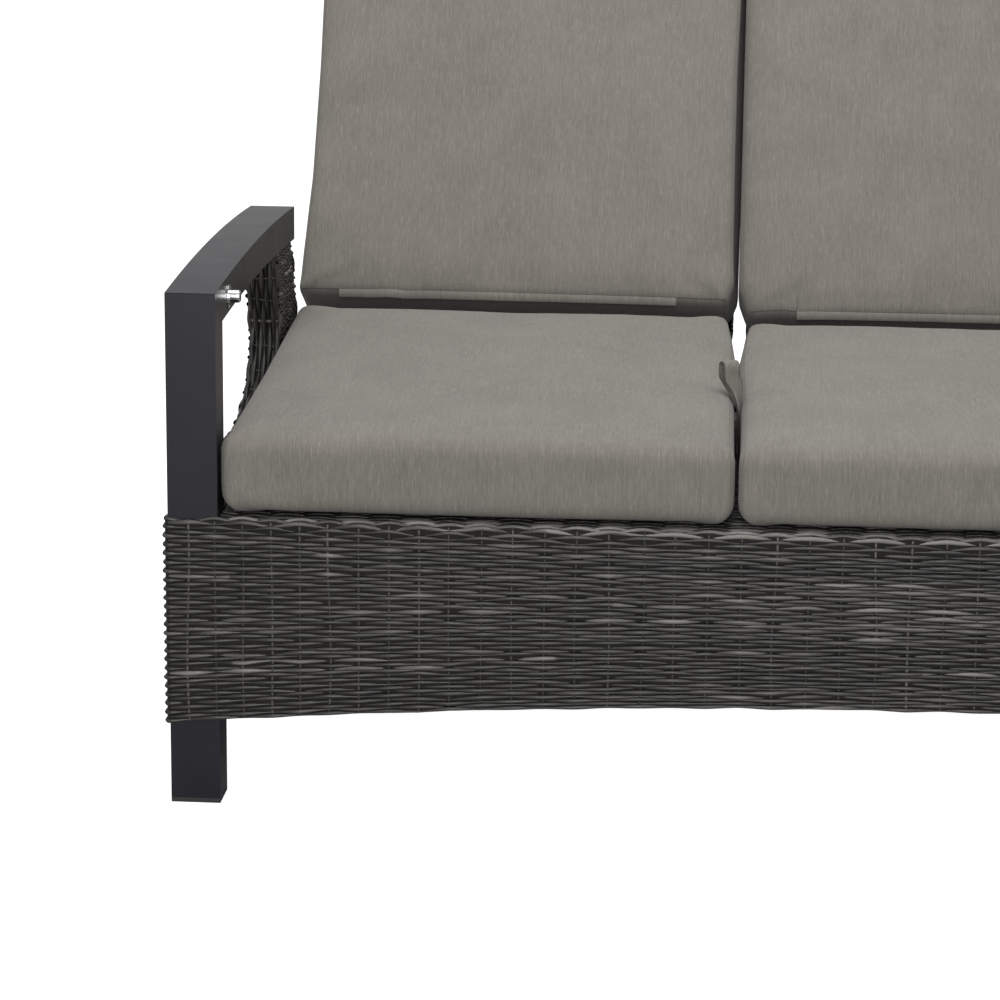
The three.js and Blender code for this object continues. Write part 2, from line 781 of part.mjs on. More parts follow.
piece(sofa, "front_lower_rail", lowerRail(0), "paint");
piece(sofa, "rear_lower_rail", lowerRail(frameDepth - lowerRailDepth), "paint");
const panelEnd = halfWidth + fitGap + weaveThickness;
const longPanel = archedPanel(-panelEnd, panelEnd, frontArchRise, rimHeight);
piece(sofa, "front_weave", along(longPanel, -fitGap - weaveThickness, weaveThickness, 16), "weave");
piece(sofa, "rear_weave", along(longPanel, frameDepth + fitGap, weaveThickness, 16), "weave");
piece(sofa, "seat_deck_weave", seatDeck(), "weave");

for (const [name, x] of seats) {
  piece(sofa, `${name}_seat_cushion`, seatCushion(x), "fabric");
  piece(sofa, `${name}_hinge_axle`, hingeAxle(x), "steel");
  piece(sofa, `${name}_spring_rod`, springRod(x), "steel");
  piece(sofa, `${name}_spring_cylinder`, springCylinder(x), "rubber");
  const back = new THREE.Group();
  back.position.set(x, pivotDepth, pivotHeight);
  back.rotation.x = -THREE.MathUtils.degToRad(restRecline);
  piece(back, `${name}_back_frame`, backFrame(), "paint");
  piece(back, `${name}_back_weave`, backWeave(), "weave");
  piece(back, `${name}_back_cushion`, backCushion(), "fabric");
  sofa.add(back);
}

piece(sofa, "release_loop", releaseLoop(), "fabric");

// Each cable runs to the release head on its own spring rod
const headY = springEyeDepth + springPlateRadius + 2 * fitGap + releaseHeadLength / 2;
const headReach = releaseHeadSize / 2 + fitGap;
const buttonBack = collarSleeveLength + buttonFlangeThickness + 2 * fitGap;
for (const [name, side] of sides) {
  const travel = 8;
  const legX = halfWidth - armWidth / 2;
  const start = innerHalf + buttonBack + travel;
  const points = [
    [start, buttonDepth, buttonHeight],
    [start + 8, buttonDepth - 14, buttonHeight - 1],
    [legX + 4, buttonDepth - 40, buttonHeight - 3],
    [legX + 2, legDepth / 2 + 6, buttonHeight - 22],
    [legX, legDepth / 2, buttonHeight - 60],
    [legX, legDepth / 2, cableHoleHeight + 150],
    [legX, legDepth / 2, cableHoleHeight + 40],
    [legX - 6, legDepth / 2, cableHoleHeight + 8],
    [innerHalf + 8, legDepth / 2, cableHoleHeight],
    [innerHalf - 20, legDepth / 2, cableHoleHeight],
    [innerHalf - 60, legDepth / 2 + 30, cableHoleHeight],
    [innerHalf - cableTurn, headY / 2, cableHoleHeight],
    [seatPitch + 0.6 * cableTurn, headY - cableSlack, cableHoleHeight],
    [seatPitch + 45, headY - 6, springHeight - 2],
    [seatPitch + headReach + 12, headY, springHeight],
    [seatPitch + headReach, headY, springHeight],
  ];
  const route = points.map(([x, y, z]) => [side * x, y, z]);
  piece(sofa, `${name}_release_cable`, cable(route, 48), "rubber");
}
const middleRoute = [
  [seamX, loopDepth, loopFoot - fitGap],
  [seamX, loopDepth, loopFoot - 14],
  [seamX + 6, loopDepth + 4, loopFoot - 34],
  [seamX + 40, loopDepth + 40, cableHoleHeight - 4],
  [seamX + 130, headY - cableSlack, cableHoleHeight - 4],
  [-60, headY - 4, springHeight - 2],
  [-headReach - 12, headY, springHeight],
  [-headReach, headY, springHeight],
];
piece(sofa, "middle_release_cable", cable(middleRoute, 24), "rubber");

// The origin is at floor level under the middle of the whole sofa
sofa.updateMatrixWorld(true);
const extent = new THREE.Box3().setFromObject(sofa, true);
sofa.position.set(0, -(extent.min.y + extent.max.y) / 2, 0);

export default sofa;
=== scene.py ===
import json
import math

import bpy
import numpy as np
from mathutils import Matrix, Vector

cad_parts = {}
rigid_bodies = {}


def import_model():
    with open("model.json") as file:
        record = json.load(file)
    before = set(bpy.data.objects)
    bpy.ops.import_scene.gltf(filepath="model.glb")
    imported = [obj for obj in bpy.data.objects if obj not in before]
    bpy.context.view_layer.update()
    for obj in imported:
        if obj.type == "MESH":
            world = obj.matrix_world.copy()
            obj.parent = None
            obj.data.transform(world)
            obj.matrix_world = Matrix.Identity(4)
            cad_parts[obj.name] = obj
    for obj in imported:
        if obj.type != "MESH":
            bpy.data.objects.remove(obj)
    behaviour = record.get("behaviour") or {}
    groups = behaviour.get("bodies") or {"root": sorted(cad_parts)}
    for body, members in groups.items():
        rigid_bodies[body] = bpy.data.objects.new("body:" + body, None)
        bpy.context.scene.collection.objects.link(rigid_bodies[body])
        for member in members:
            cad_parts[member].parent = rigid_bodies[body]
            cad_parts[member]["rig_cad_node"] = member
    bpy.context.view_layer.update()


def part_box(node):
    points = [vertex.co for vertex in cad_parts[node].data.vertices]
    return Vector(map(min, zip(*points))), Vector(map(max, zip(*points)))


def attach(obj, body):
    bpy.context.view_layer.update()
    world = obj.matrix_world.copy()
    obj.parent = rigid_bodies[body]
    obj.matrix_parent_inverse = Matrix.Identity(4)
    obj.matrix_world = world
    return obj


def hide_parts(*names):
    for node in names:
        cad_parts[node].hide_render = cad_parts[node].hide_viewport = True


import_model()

SEATS = ("left", "middle", "right")
SIDES = (("left", -1), ("right", 1))


# Box corners of the frame's pieces, which the weave and the cushions are fitted to
def low_high(node):
    low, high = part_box(node)
    return np.array(low), np.array(high)


base_low, base_high = low_high("front_weave")
deck_low, deck_high = low_high("seat_deck_weave")
post_low, post_high = low_high("left_front_leg")
RIM = base_high[2]
BASE_BOTTOM = base_low[2]
HALF_WIDTH = base_high[0]
FRONT = base_low[1]
REAR = low_high("rear_weave")[1][1]
FRONT_ARCH = 0.045
SIDE_ARCH = 0.018
# Depth under a panel's face at which the core behind its weave, dark as painted shade, starts and ends
CORE_NEAR = 0.0028
CORE_FAR = 0.0047


def joined(*columns):
    """Columns of numbers as one array of rows."""
    return np.stack(columns, axis=-1)


def unit(rows):
    return rows / np.linalg.norm(rows, axis=-1, keepdims=True)


def held(values):
    """Values held between 0 and 1."""
    return np.clip(values, 0, 1)


def lengths(line):
    """Length along a line up to each of its points."""
    return np.concatenate([[0], np.cumsum(np.linalg.norm(np.diff(line, axis=0), axis=1))])


def added(name, data):
    """A new object of the scene."""
    made = bpy.data.objects.new(name, data)
    bpy.context.collection.objects.link(made)
    return made


def at_length(where, length, parts):
    """Each part of a line, such as its x or its z, at some lengths along the line."""
    return np.array([np.interp(where, length, part) for part in parts])


def mesh_piece(name, points, faces, material, body="frame", smooth=True, values=None):
    """A mesh from points and faces, riding on a body, with its point values as attributes."""
    mesh = bpy.data.meshes.new(name)
    points = np.asarray(points, np.float64)
    corners = np.concatenate([np.asarray(f, np.int32).reshape(-1) for f in faces])
    sizes = np.concatenate([np.full(len(f), np.asarray(f).shape[1], np.int32) for f in faces])
    mesh.vertices.add(len(points))
    mesh.vertices.foreach_set("co", points.reshape(-1))
    mesh.loops.add(len(corners))
    mesh.loops.foreach_set("vertex_index", corners)
    mesh.polygons.add(len(sizes))
    mesh.polygons.foreach_set("loop_start", np.cumsum(sizes) - sizes)
    mesh.polygons.foreach_set("loop_total", sizes)
    mesh.update(calc_edges=True)
    mesh.validate()
    for title, numbers in (values or {}).items():
        attribute = mesh.attributes.new(title, "FLOAT", "POINT")
        attribute.data.foreach_set("value", np.asarray(numbers, np.float32))
    mesh.shade_smooth() if smooth else mesh.shade_flat()
    mesh.materials.append(material)
    made = added(name, mesh)
    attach(made, body)
    return made


# Shader helpers
class Nodes:
    """Adds and joins the nodes of one tree."""

    def __init__(self, tree):
        self.tree = tree

    def fill(self, node, entries):
        """Gives each named entry of a node a socket to read from, a colour or a number."""
        for title, value in entries.items():
            entry = node.inputs[title]
            if isinstance(value, bpy.types.NodeSocket):
                self.tree.links.new(value, entry)
            else:
                entry.default_value = (*value, 1) if entry.type == "RGBA" else value

    def add(self, kind, entries=None, **settings):
        """A new node with its settings made and its entries filled."""
        node = self.tree.nodes.new(kind)
        for title, value in settings.items():
            setattr(node, title, value)
        self.fill(node, entries or {})
        return node

    def noise(self, place, scale, detail=3.0, roughness=0.55):
        """Noise over the places that a socket gives."""
        entries = {"Vector": place, "Scale": scale, "Detail": detail, "Roughness": roughness}
        return self.add("ShaderNodeTexNoise", entries).outputs["Fac"]

    def stretched(self, place, scale):
        """The same places, scaled by a different number on each axis."""
        return self.add("ShaderNodeMapping", {"Vector": place, "Scale": scale}).outputs["Vector"]

    def ramp(self, value, *stops):
        """A smooth change of grey or colour along a value."""
        node = self.add("ShaderNodeValToRGB", {"Fac": value})
        bar = node.color_ramp
        while len(bar.elements) < len(stops):
            bar.elements.new(0.5)
        for element, (at, colour) in zip(bar.elements, stops):
            element.position = at
            grey = isinstance(colour, (int, float))
            element.color = (colour, colour, colour, 1) if grey else (*colour, 1)
        return node.outputs["Color"]

    def sums(self, how, first, second):
        """One sum on two values, each a socket or a number."""
        return self.add("ShaderNodeMath", {0: first, 1: second}, operation=how).outputs["Value"]

    def mix(self, share, first, second):
        """Two colours mixed by a share."""
        entries = {0: share, 6: first, 7: second}
        return self.add("ShaderNodeMix", entries, data_type="RGBA").outputs[2]

    def bump(self, height, depth, strength=1.0):
        """A normal from a height, with the depth in metres."""
        entries = {"Height": height, "Distance": depth, "Strength": strength}
        return self.add("ShaderNodeBump", entries).outputs["Normal"]


def linear(*srgb):
    """Linear colour from 0 to 255 display values."""
    shares = [c / 255 for c in srgb]
    return tuple(c / 12.92 if c <= 0.04045 else ((c + 0.055) / 1.055) ** 2.4 for c in shares)


def finish(name, **settings):
    """A new material with its shader's constant values."""
    material = bpy.data.materials.new(name)
    material.use_nodes = True
    nodes = Nodes(material.node_tree)
    shader = material.node_tree.nodes["Principled BSDF"]
    nodes.fill(shader, {title.replace("_", " "): value for title, value in settings.items()})
    return material, nodes, shader


SOCKET_KINDS = {
    "Place": "Vector", "Normal": "Vector", "Colour": "Color", "Light": "Color", "Dark": "Color",
}


def group(name, entries, results):
    """An empty shader node group with its entries, each with its usual value, and its results."""
    tree = bpy.data.node_groups.new(name, "ShaderNodeTree")

    def socket(title, side):
        kind = "NodeSocket" + SOCKET_KINDS.get(title, "Float")
        return tree.interface.new_socket(title, in_out=side, socket_type=kind)

    for title, value in entries.items():
        made = socket(title, "INPUT")
        if value is not None:
            made.default_value = value
    for title in results:
        socket(title, "OUTPUT")
    nodes = Nodes(tree)
    return tree, nodes, nodes.add("NodeGroupInput").outputs, nodes.add("NodeGroupOutput")


# Effects that several finishes share
def fine_unevenness_group():
    """Slight changes of colour, gloss and height over a coated or bare surface."""
    entries = {
        "Place": None, "Colour": (0.5, 0.5, 0.5, 1), "Scale": 600.0, "Spread": 0.12,
        "Roughness": 0.4, "Depth": 0.00005,
    }
    tree, nodes, given, result = group("fine_unevenness", entries, ("Colour", "Roughness", "Normal"))
    broad = nodes.noise(given["Place"], 14.0, 4.0)
    fine = nodes.noise(given["Place"], given["Scale"], 2.0)
    change = nodes.sums("MULTIPLY", nodes.sums("SUBTRACT", broad, 0.5), given["Spread"])
    bright = nodes.sums("ADD", 1.0, nodes.sums("MULTIPLY", change, 2.0))
    entries = {0: given["Colour"], "Scale": bright}
    shade = nodes.add("ShaderNodeVectorMath", entries, operation="SCALE")
    nodes.fill(result, {
        "Colour": shade.outputs["Vector"],
        "Roughness": nodes.sums("ADD", given["Roughness"], change),
        "Normal": nodes.bump(fine, given["Depth"]),
    })
    return tree


def thread_group():
    """Slubbed cloth: long uneven threads one way and short ones across them."""
    entries = {"Place": None, "Light": (0.3, 0.3, 0.3, 1), "Dark": (0.2, 0.2, 0.2, 1)}
    tree, nodes, given, result = group("slubbed_threads", entries, ("Colour", "Normal"))
    place = given["Place"]
    long_slubs = nodes.noise(nodes.stretched(place, (420, 16, 16)), 1.0, 2.0, 0.6)
    short_slubs = nodes.noise(nodes.stretched(place, (800, 70, 70)), 1.0, 2.0, 0.65)
    cross_threads = nodes.noise(nodes.stretched(place, (90, 1100, 1100)), 1.0, 1.0)
    broad = nodes.noise(place, 11.0, 3.0, 0.6)
    thick_slubs = nodes.ramp(short_slubs, (0.56, 0.0), (0.72, 1.0))
    threads = short_slubs
    for part, weight in ((long_slubs, 0.55), (cross_threads, 0.35), (broad, 0.6), (thick_slubs, 0.35)):
        threads = nodes.sums("ADD", nodes.sums("MULTIPLY", part, weight), threads)
    share = nodes.ramp(nodes.sums("MULTIPLY", threads, 0.38), (0.32, 0.0), (0.70, 1.0))
    nodes.fill(result, {
        "Colour": nodes.mix(share, given["Dark"], given["Light"]),
        "Normal": nodes.bump(threads, 0.00025, 0.6),
    })
    return tree


UNEVENNESS = fine_unevenness_group()
THREADS = thread_group()


def coated(name, colour, roughness, scale=600.0, spread=0.1, depth=0.00004, **settings):
    """A plain hard finish with slight unevenness."""
    material, nodes, shader = finish(name, **settings)
    entries = {
        "Place": nodes.add("ShaderNodeTexCoord").outputs["Object"], "Colour": colour,
        "Scale": scale, "Spread": spread, "Roughness": roughness, "Depth": depth,
    }
    uneven = nodes.add("ShaderNodeGroup", entries, node_tree=UNEVENNESS).outputs
    nodes.fill(shader, {
        "Base Color": uneven["Colour"], "Roughness": uneven["Roughness"], "Normal": uneven["Normal"],
    })
    return material


def cloth(name, light, dark):
    """Upholstery cloth with its long threads from front to back and down the sides."""
    material, nodes, shader = finish(
        name, Roughness=0.92, Specular_IOR_Level=0.2, Sheen_Weight=0.12, Sheen_Roughness=0.6,
    )
    place = nodes.add("ShaderNodeTexCoord").outputs["Object"]
    x, y, z = nodes.add("ShaderNodeSeparateXYZ", {0: place}).outputs
    turned = nodes.add("ShaderNodeCombineXYZ", {"X": y, "Y": x, "Z": z}).outputs["Vector"]
    normal = nodes.add("ShaderNodeNewGeometry").outputs["Normal"]
    facing = nodes.add("ShaderNodeSeparateXYZ", {0: normal}).outputs["X"]
    end_face = nodes.ramp(nodes.sums("ABSOLUTE", facing, 0.0), (0.72, 0.0), (0.78, 1.0))
    front, end = (
        nodes.add(
            "ShaderNodeGroup", {"Place": way, "Light": light, "Dark": dark}, node_tree=THREADS
        ).outputs
        for way in (place, turned)
    )
    colour = nodes.mix(end_face, front["Colour"], end["Colour"])
    nodes.fill(shader, {"Base Color": colour, "Normal": front["Normal"]})
    return material


def cane_finish():
    """Grey-brown plastic cane: streaks along each strand and a tone of its own."""
    material, nodes, shader = finish("grey_cane", Specular_IOR_Level=0.5)
    run, cross, tone = (
        nodes.add("ShaderNodeAttribute", attribute_name=title).outputs["Fac"]
        for title in ("run", "cross", "tone")
    )
    place = nodes.add("ShaderNodeCombineXYZ", {"X": run, "Y": cross, "Z": tone}).outputs[0]
    streaks = nodes.noise(nodes.stretched(place, (22, 1500, 3)), 1.0, 3.0, 0.6)
    patches = nodes.noise(nodes.stretched(place, (16, 60, 3)), 1.0, 2.0)
    streaked = nodes.sums("MULTIPLY", streaks, 0.5)
    mixed = nodes.sums("ADD", streaked, nodes.sums("MULTIPLY", patches, 0.45))
    mixed = nodes.sums("ADD", nodes.sums("MULTIPLY", tone, 0.75), nodes.sums("SUBTRACT", mixed, 0.3))
    colour = nodes.ramp(
        mixed,
        (0.10, (0.014, 0.0131, 0.0121)),
        (0.45, (0.020, 0.0186, 0.0171)),
        (0.72, (0.037, 0.0346, 0.0315)),
        (0.98, (0.160, 0.150, 0.138)),
    )
    nodes.fill(shader, {
        "Base Color": colour,
        "Roughness": nodes.ramp(streaks, (0.2, 0.27), (0.8, 0.45)),
        "Normal": nodes.bump(streaks, 0.00025, 0.7),
    })
    return material


CANE = cane_finish()
# Nearly black finish of the cores behind the weave: painted shade of the hollow inside the base, arms
# and backs
SHADE_CORE = coated("painted_shade_core", (0.020, 0.019, 0.018), 0.9, spread=0.3, Specular_IOR_Level=0.1)
CLOTH = cloth("taupe_cloth", linear(126, 122, 115), linear(98, 95, 89))
CLOTH_DARK = cloth("taupe_cloth_seam", linear(92, 88, 84), linear(74, 71, 68))
POWDER_COAT = coated(
    "anthracite_powder_coat", (0.0092, 0.0095, 0.0138), 0.33, scale=900, depth=0.00006,
    Specular_IOR_Level=0.32,
)
BRIGHT_STEEL = coated("zinc_plated_steel", (0.56, 0.57, 0.58), 0.3, spread=0.12, Metallic=1.0)
CHROME = coated("chrome", (0.78, 0.79, 0.80), 0.12, spread=0.03, depth=0.00001, Metallic=1.0)
BLACK_CYLINDER = coated("black_painted_steel", (0.014, 0.014, 0.015), 0.32, Coat_Weight=0.3)
CABLE_BLACK = coated("black_cable_sheath", (0.016, 0.016, 0.016), 0.55)
FOOT_PLASTIC = coated("black_plastic", (0.018, 0.018, 0.019), 0.5, scale=1200, depth=0.00008)


# Cane strands: their cross-section as shares of width and thickness, their usual tones, and a painted
# highlight that lightens the rim's rows
ACROSS = np.array([-0.5, -0.36, 0.0, 0.36, 0.5])
OUTWARD = np.array([-0.4, 0.22, 0.5, 0.22, -0.4])
ROW_TONE = 0.47
RIM_PAINTED_HIGHLIGHT = 80
STAKE_TONE = 0.72
STAKE_THICKNESS = 0.0026
# Unevenness of the strands: sag of a whole row, its sway and bulge at each stake, lean of a stake
SAG = 0.0004
SWAY = 0.0007
BULGE = 0.0004
LEAN = 0.0012


class Weave:
    """Flattened strands gathered into one mesh, each point with its tone and place along the strand."""

    def __init__(self):
        self.points, self.faces, self.count = [], [], 0
        self.values = {"tone": [], "run": [], "cross": []}

    def strand(self, line, outward, width, thickness, tone, start=0.0):
        """One strand through the points of a line, its crowned side outward."""
        n, m = len(line), len(ACROSS)
        run = unit(np.gradient(line, axis=0))
        side = unit(np.cross(outward, run))
        out = np.cross(run, side)
        width = np.broadcast_to(width, n)[:, None, None]
        thickness = np.broadcast_to(thickness, n)[:, None, None]
        ring = (
            line[:, None]
            + side[:, None] * ACROSS[None, :, None] * width
            + out[:, None] * OUTWARD[None, :, None] * thickness
        )
        begin = self.count + np.arange(n - 1)[:, None] * m
        first, second = begin + np.arange(m), begin + (np.arange(m) + 1) % m
        quads = joined(first, first + m, second + m, second)
        self.points.append(ring.reshape(-1, 3))
        self.faces.append(quads.reshape(-1, 4))
        self.values["tone"].append(np.repeat(np.broadcast_to(tone, n), m))
        self.values["run"].append(np.repeat(lengths(line) + start, m))
        self.values["cross"].append((ACROSS[None, :] * width[:, 0] + start).reshape(-1))
        self.count += n * m

    def piece(self, name, material, body="frame"):
        """The gathered strands as one piece."""
        values = {title: np.concatenate(parts) for title, parts in self.values.items()}
        faces = np.concatenate(self.faces)
        return mesh_piece(name, np.concatenate(self.points), [faces], material, body, values=values)


def drifting_tone(rng, along, base, spread):
    """A strand's tone, which changes where a new length of cane starts."""
    breaks = np.cumsum(rng.uniform(0.18, 0.8, 12)) + along[0] - 0.3
    tones = base + rng.normal(0, spread, 13)
    return tones[np.searchsorted(breaks, along)]


def woven(weave, surface, stakes, rows, seed, *, per_stake=6, first=0, lift=0.0021,
          width=0.0058, thickness=0.0042, sink=0.0025, fade=True, hills=None, stake_width=0.0034):
    """Rows over and under the stakes. surface(along, height) gives places and outward
    directions, and rows(along) the height of each row."""
    rng = np.random.default_rng(seed)
    number = len(stakes)
    steps = np.arange((number - 1) * per_stake + 1) / per_stake
    along = np.interp(steps, np.arange(number), stakes)
    edge = np.minimum(steps, number - 1 - steps)
    window = held(edge / 1.5) if fade else np.ones_like(steps)

    def uneven(size):
        """Random values at the stakes, with the steps between them filled in."""
        return np.interp(steps, np.arange(number), rng.normal(0, size, number))

    heights = rows(along)
    for k, height in enumerate(heights):
        hill = 0.0 if hills is None else hills(k, len(heights))
        wave = np.cos(math.pi * (steps + first + k))
        sway = uneven(SWAY)
        sag = rng.normal(0, SAG) + sway + hill * wave
        place, out = surface(along, height + sag * window)
        bulge = lift * wave + uneven(BULGE)
        full = width * rng.uniform(0.88, 1.12) * (0.88 + 0.2 * wave)
        # The rim's rows get a lighter tone the more they rise over the stakes: a painted highlight where
        # the rim catches light from above
        tone = drifting_tone(rng, along, ROW_TONE + RIM_PAINTED_HIGHLIGHT * hill, 0.2) + rng.normal(0, 0.1)
        tone = tone + uneven(0.12)
        weave.strand(
            place + out * (bulge - sink)[:, None], out, full, thickness, tone,
            start=rng.uniform(0, 9),
        )
    marks = np.linspace(0, 1, max(6, len(heights)))
    for i in range(number):
        count = len(heights) - 1
        column = rows(np.array([stakes[i]]))[:, 0]
        height = np.interp(marks * count, np.arange(count + 1), column)
        lean = rng.normal(0, LEAN) * np.sin(marks * math.pi * rng.uniform(0.6, 2.2))
        place, out = surface(np.full(len(marks), stakes[i]) + lean, height)
        weave.strand(
            place - out * (sink + 0.0002), out, stake_width * rng.uniform(0.85, 1.15),
            STAKE_THICKNESS, STAKE_TONE + rng.normal(0, 0.12), start=rng.uniform(0, 9),
        )


def level(heights):
    """Rows that lie at the same heights all along."""
    return lambda along: heights[:, None] + np.zeros_like(along)[None]


def wicker(weave, name, node, body="frame"):
    """The gathered strands as one piece that takes the place of a solid."""
    made = weave.piece(name, CANE, body=body)
    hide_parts(node)


def fanned(half, number):
    """Places of the stakes, closer together towards the two ends."""
    even, crowding = 40, 2.667
    share = np.linspace(-1, 1, number + 1)
    return half * (even * share - crowding * share**3) / (even - crowding)


def arched(along, half, rise):
    """Height of the lower edge of a base panel, which rises in one arc."""
    return BASE_BOTTOM + rise * held(1 - (along / half) ** 2)


# Woven base: front, rear and side aprons with the rim turned over their top edges
CORNER = 0.006
BODY_ROWS = 42
RIM_ROWS = 6
RIM_PITCH = 0.0056
RIM_OVER = 0.0078
RIM_TURN = 0.0065
FRONT_STAKES = 53
SIDE_STAKES = 22
DECK_STAKES = 48
DECK_PITCH = 0.0078
LEDGE_STAKES = 21
LEDGE_ROWS = 9
LEDGE_PITCH = 0.0066


def row_heights(low):
    """Even rows from the lower edge up, the last few turned over the rim."""
    rim_start = RIM + RIM_OVER - RIM_ROWS * RIM_PITCH
    share = (np.arange(BODY_ROWS) + 0.5) / BODY_ROWS
    body = low[None] + share[:, None] * (rim_start - low)[None]
    return np.concatenate([body, level(rim_start + (np.arange(RIM_ROWS) + 0.5) * RIM_PITCH)(low)])


def rim_hills(k, total):
    """How far a row rises over each stake: the rim's rows bow up and down like a plait."""
    return 0.0005 + 0.0019 * min(1, max(0, k - total + RIM_ROWS) / 3)


def long_face(face, direction):
    """Surface of the front or rear apron, whose ends turn round the corners."""
    flat = HALF_WIDTH - CORNER

    def surface(along, height):
        over = np.clip(np.abs(along) - flat, 0, CORNER * math.pi / 2)
        turn = over / CORNER
        x = np.sign(along) * (np.clip(np.abs(along), 0, flat) + CORNER * np.sin(turn))
        y = face + direction * CORNER * (1 - np.cos(turn))
        out = joined(np.sign(along) * np.sin(turn), -direction * np.cos(turn), 0 * x)
        tip = np.clip((height - (RIM - RIM_TURN)) / RIM_TURN, 0, math.pi / 2)
        past = np.clip(height - (RIM - RIM_TURN) - RIM_TURN * math.pi / 2, 0, None)
        z = np.minimum(height, RIM - RIM_TURN) + RIM_TURN * np.sin(tip)
        place = joined(x, y, z)
        place = place - out * (RIM_TURN * (1 - np.cos(tip)) + past)[:, None]
        up = np.array([0, 0, 1.0])
        return place, unit(out * np.cos(tip)[:, None] + up * np.sin(tip)[:, None])

    return surface


def side_face(sign):
    """Surface of a side apron: up its outer face, then across its top to the seat deck."""
    def surface(along, height):
        past = np.clip(height - (RIM - CORNER), 0, None)
        turn = np.clip(past / CORNER, 0, math.pi / 2)
        across = np.clip(past - CORNER * math.pi / 2, 0, None)
        x = HALF_WIDTH - CORNER * (1 - np.cos(turn)) - across
        z = np.minimum(height, RIM - CORNER) + CORNER * np.sin(turn)
        place = joined(sign * x, along, z)
        out = joined(sign * np.cos(turn), 0 * x, np.sin(turn))
        return place, out

    return surface


def panel_core(name, shape, axis, *depths):
    """Sheet behind the weave of a panel, dark as painted shade of its hollow inside, with the panel's
    outline, between two depths on an axis.
    """
    points = [(*p[:axis], depth, *p[axis:]) for depth in sorted(depths) for p in shape]
    faces = []
    n = len(shape)
    for i in range(n // 2 - 1):
        a, b, c, d = i, i + 1, n - 2 - i, n - 1 - i
        faces.append((a, b, c, d))
        faces.append((d + n, c + n, b + n, a + n))
    for i in range(n):
        j = (i + 1) % n
        faces.append((i, i + n, j + n, j))
    made = mesh_piece(name, points, [np.array(faces)], SHADE_CORE, smooth=False)


def oblong(x0, y0, x1, y1):
    return [(x0, y0), (x1, y0), (x1, y1), (x0, y1)]


def apron_outline(half, centre, rise, top, steps=24):
    """Outline of an apron: arched lower edge one way, straight top edge back."""
    share = np.linspace(-1, 1, steps)
    low = [(centre + half * s, BASE_BOTTOM + 0.002 + rise * (1 - s * s)) for s in share]
    high = [(centre + half * s, top) for s in share[::-1]]
    return low + high


front_stakes = fanned(HALF_WIDTH - CORNER + CORNER * math.pi / 2, FRONT_STAKES)


def front_rows(along):
    return row_heights(arched(along, HALF_WIDTH, FRONT_ARCH))


for title, face, direction, seed in (("front", FRONT, 1, 11), ("rear", REAR, -1, 12)):
    weave = Weave()
    woven(
        weave, long_face(face, direction), front_stakes, front_rows, seed,
        hills=rim_hills, per_stake=6 if title == "front" else 5,
    )
    wicker(weave, f"{title}_woven_apron", f"{title}_weave")
    outline = apron_outline(HALF_WIDTH - 0.003, 0, FRONT_ARCH, RIM - 0.003)
    panel_core(
        f"{title}_apron_core", outline, 1, face + direction * CORE_NEAR, face + direction * CORE_FAR
    )

SIDE_MIDDLE = (FRONT + REAR) / 2
SIDE_HALF = (REAR - FRONT) / 2 - CORNER
side_stakes = SIDE_MIDDLE + np.linspace(-SIDE_HALF, SIDE_HALF, SIDE_STAKES)
ledge_rows = level(RIM + 0.002 + (np.arange(LEDGE_ROWS) + 0.5) * LEDGE_PITCH)


def side_rows(along):
    return row_heights(arched(along - SIDE_MIDDLE, SIDE_HALF + CORNER, SIDE_ARCH))


for name, sign in SIDES:
    weave = Weave()
    woven(
        weave, side_face(sign), side_stakes, side_rows, 21 + sign, hills=rim_hills,
        first=0 if sign < 0 else FRONT_STAKES,
    )
    ledge_stakes = np.linspace(post_high[1] + 0.002, REAR - CORE_FAR, LEDGE_STAKES)
    woven(
        weave, side_face(sign), ledge_stakes, ledge_rows, 31 + sign, per_stake=5, fade=False,
        width=0.006,
    )
    wicker(weave, f"{name}_woven_side", f"{name}_side_weave")
    outline = apron_outline(SIDE_HALF + 0.004, SIDE_MIDDLE, SIDE_ARCH, RIM - 0.003)
    panel_core(
        f"{name}_side_core", outline, 0, sign * (HALF_WIDTH - CORE_NEAR), sign * (HALF_WIDTH - CORE_FAR)
    )
    x0, x1 = sorted((sign * (deck_high[0] + 0.0015), sign * (HALF_WIDTH - 0.004)))
    outline = oblong(x0, post_high[1] + 0.001, x1, REAR - CORE_FAR)
    panel_core(f"{name}_ledge_core", outline, 2, RIM - CORE_FAR, RIM - 0.0032)


# Woven seat deck
def deck_face(along, depth):
    place = joined(along, depth, np.full(along.shape, RIM - 0.0005))
    return place, np.broadcast_to([0, 0, 1.0], place.shape)


deck_stakes = np.linspace(deck_low[0] + 0.001, deck_high[0] - 0.001, DECK_STAKES)
first_row = deck_low[1] + 0.005
row_count = int((deck_high[1] - 0.003 - first_row) / DECK_PITCH)
deck_rows = level(first_row + np.arange(row_count) * DECK_PITCH)
weave = Weave()
woven(
    weave, deck_face, deck_stakes, deck_rows, 41, per_stake=3, fade=False, width=DECK_PITCH,
    thickness=0.003, lift=0.0016, sink=0.0026,
)
wicker(weave, "woven_seat_deck", "seat_deck_weave")

# Core under the deck's weave, dark as painted shade of the base's hollow inside, open where the release
# strap comes through
strap_low, strap_high = low_high("release_loop")
x1, y1 = strap_low[:2] - 0.003
x2, y2 = strap_high[:2] + 0.003
x0, y0 = deck_low[:2] + 0.001
x3, y3 = deck_high[:2] - 0.001
parts = ((x0, y0, x1, y3), (x2, y0, x3, y3), (x1, y0, x2, y1), (x1, y2, x2, y3))
for number, part in enumerate(parts, start=1):
    panel_core(f"deck_core_{number}", oblong(*part), 2, RIM - 0.0068, RIM - 0.0056)


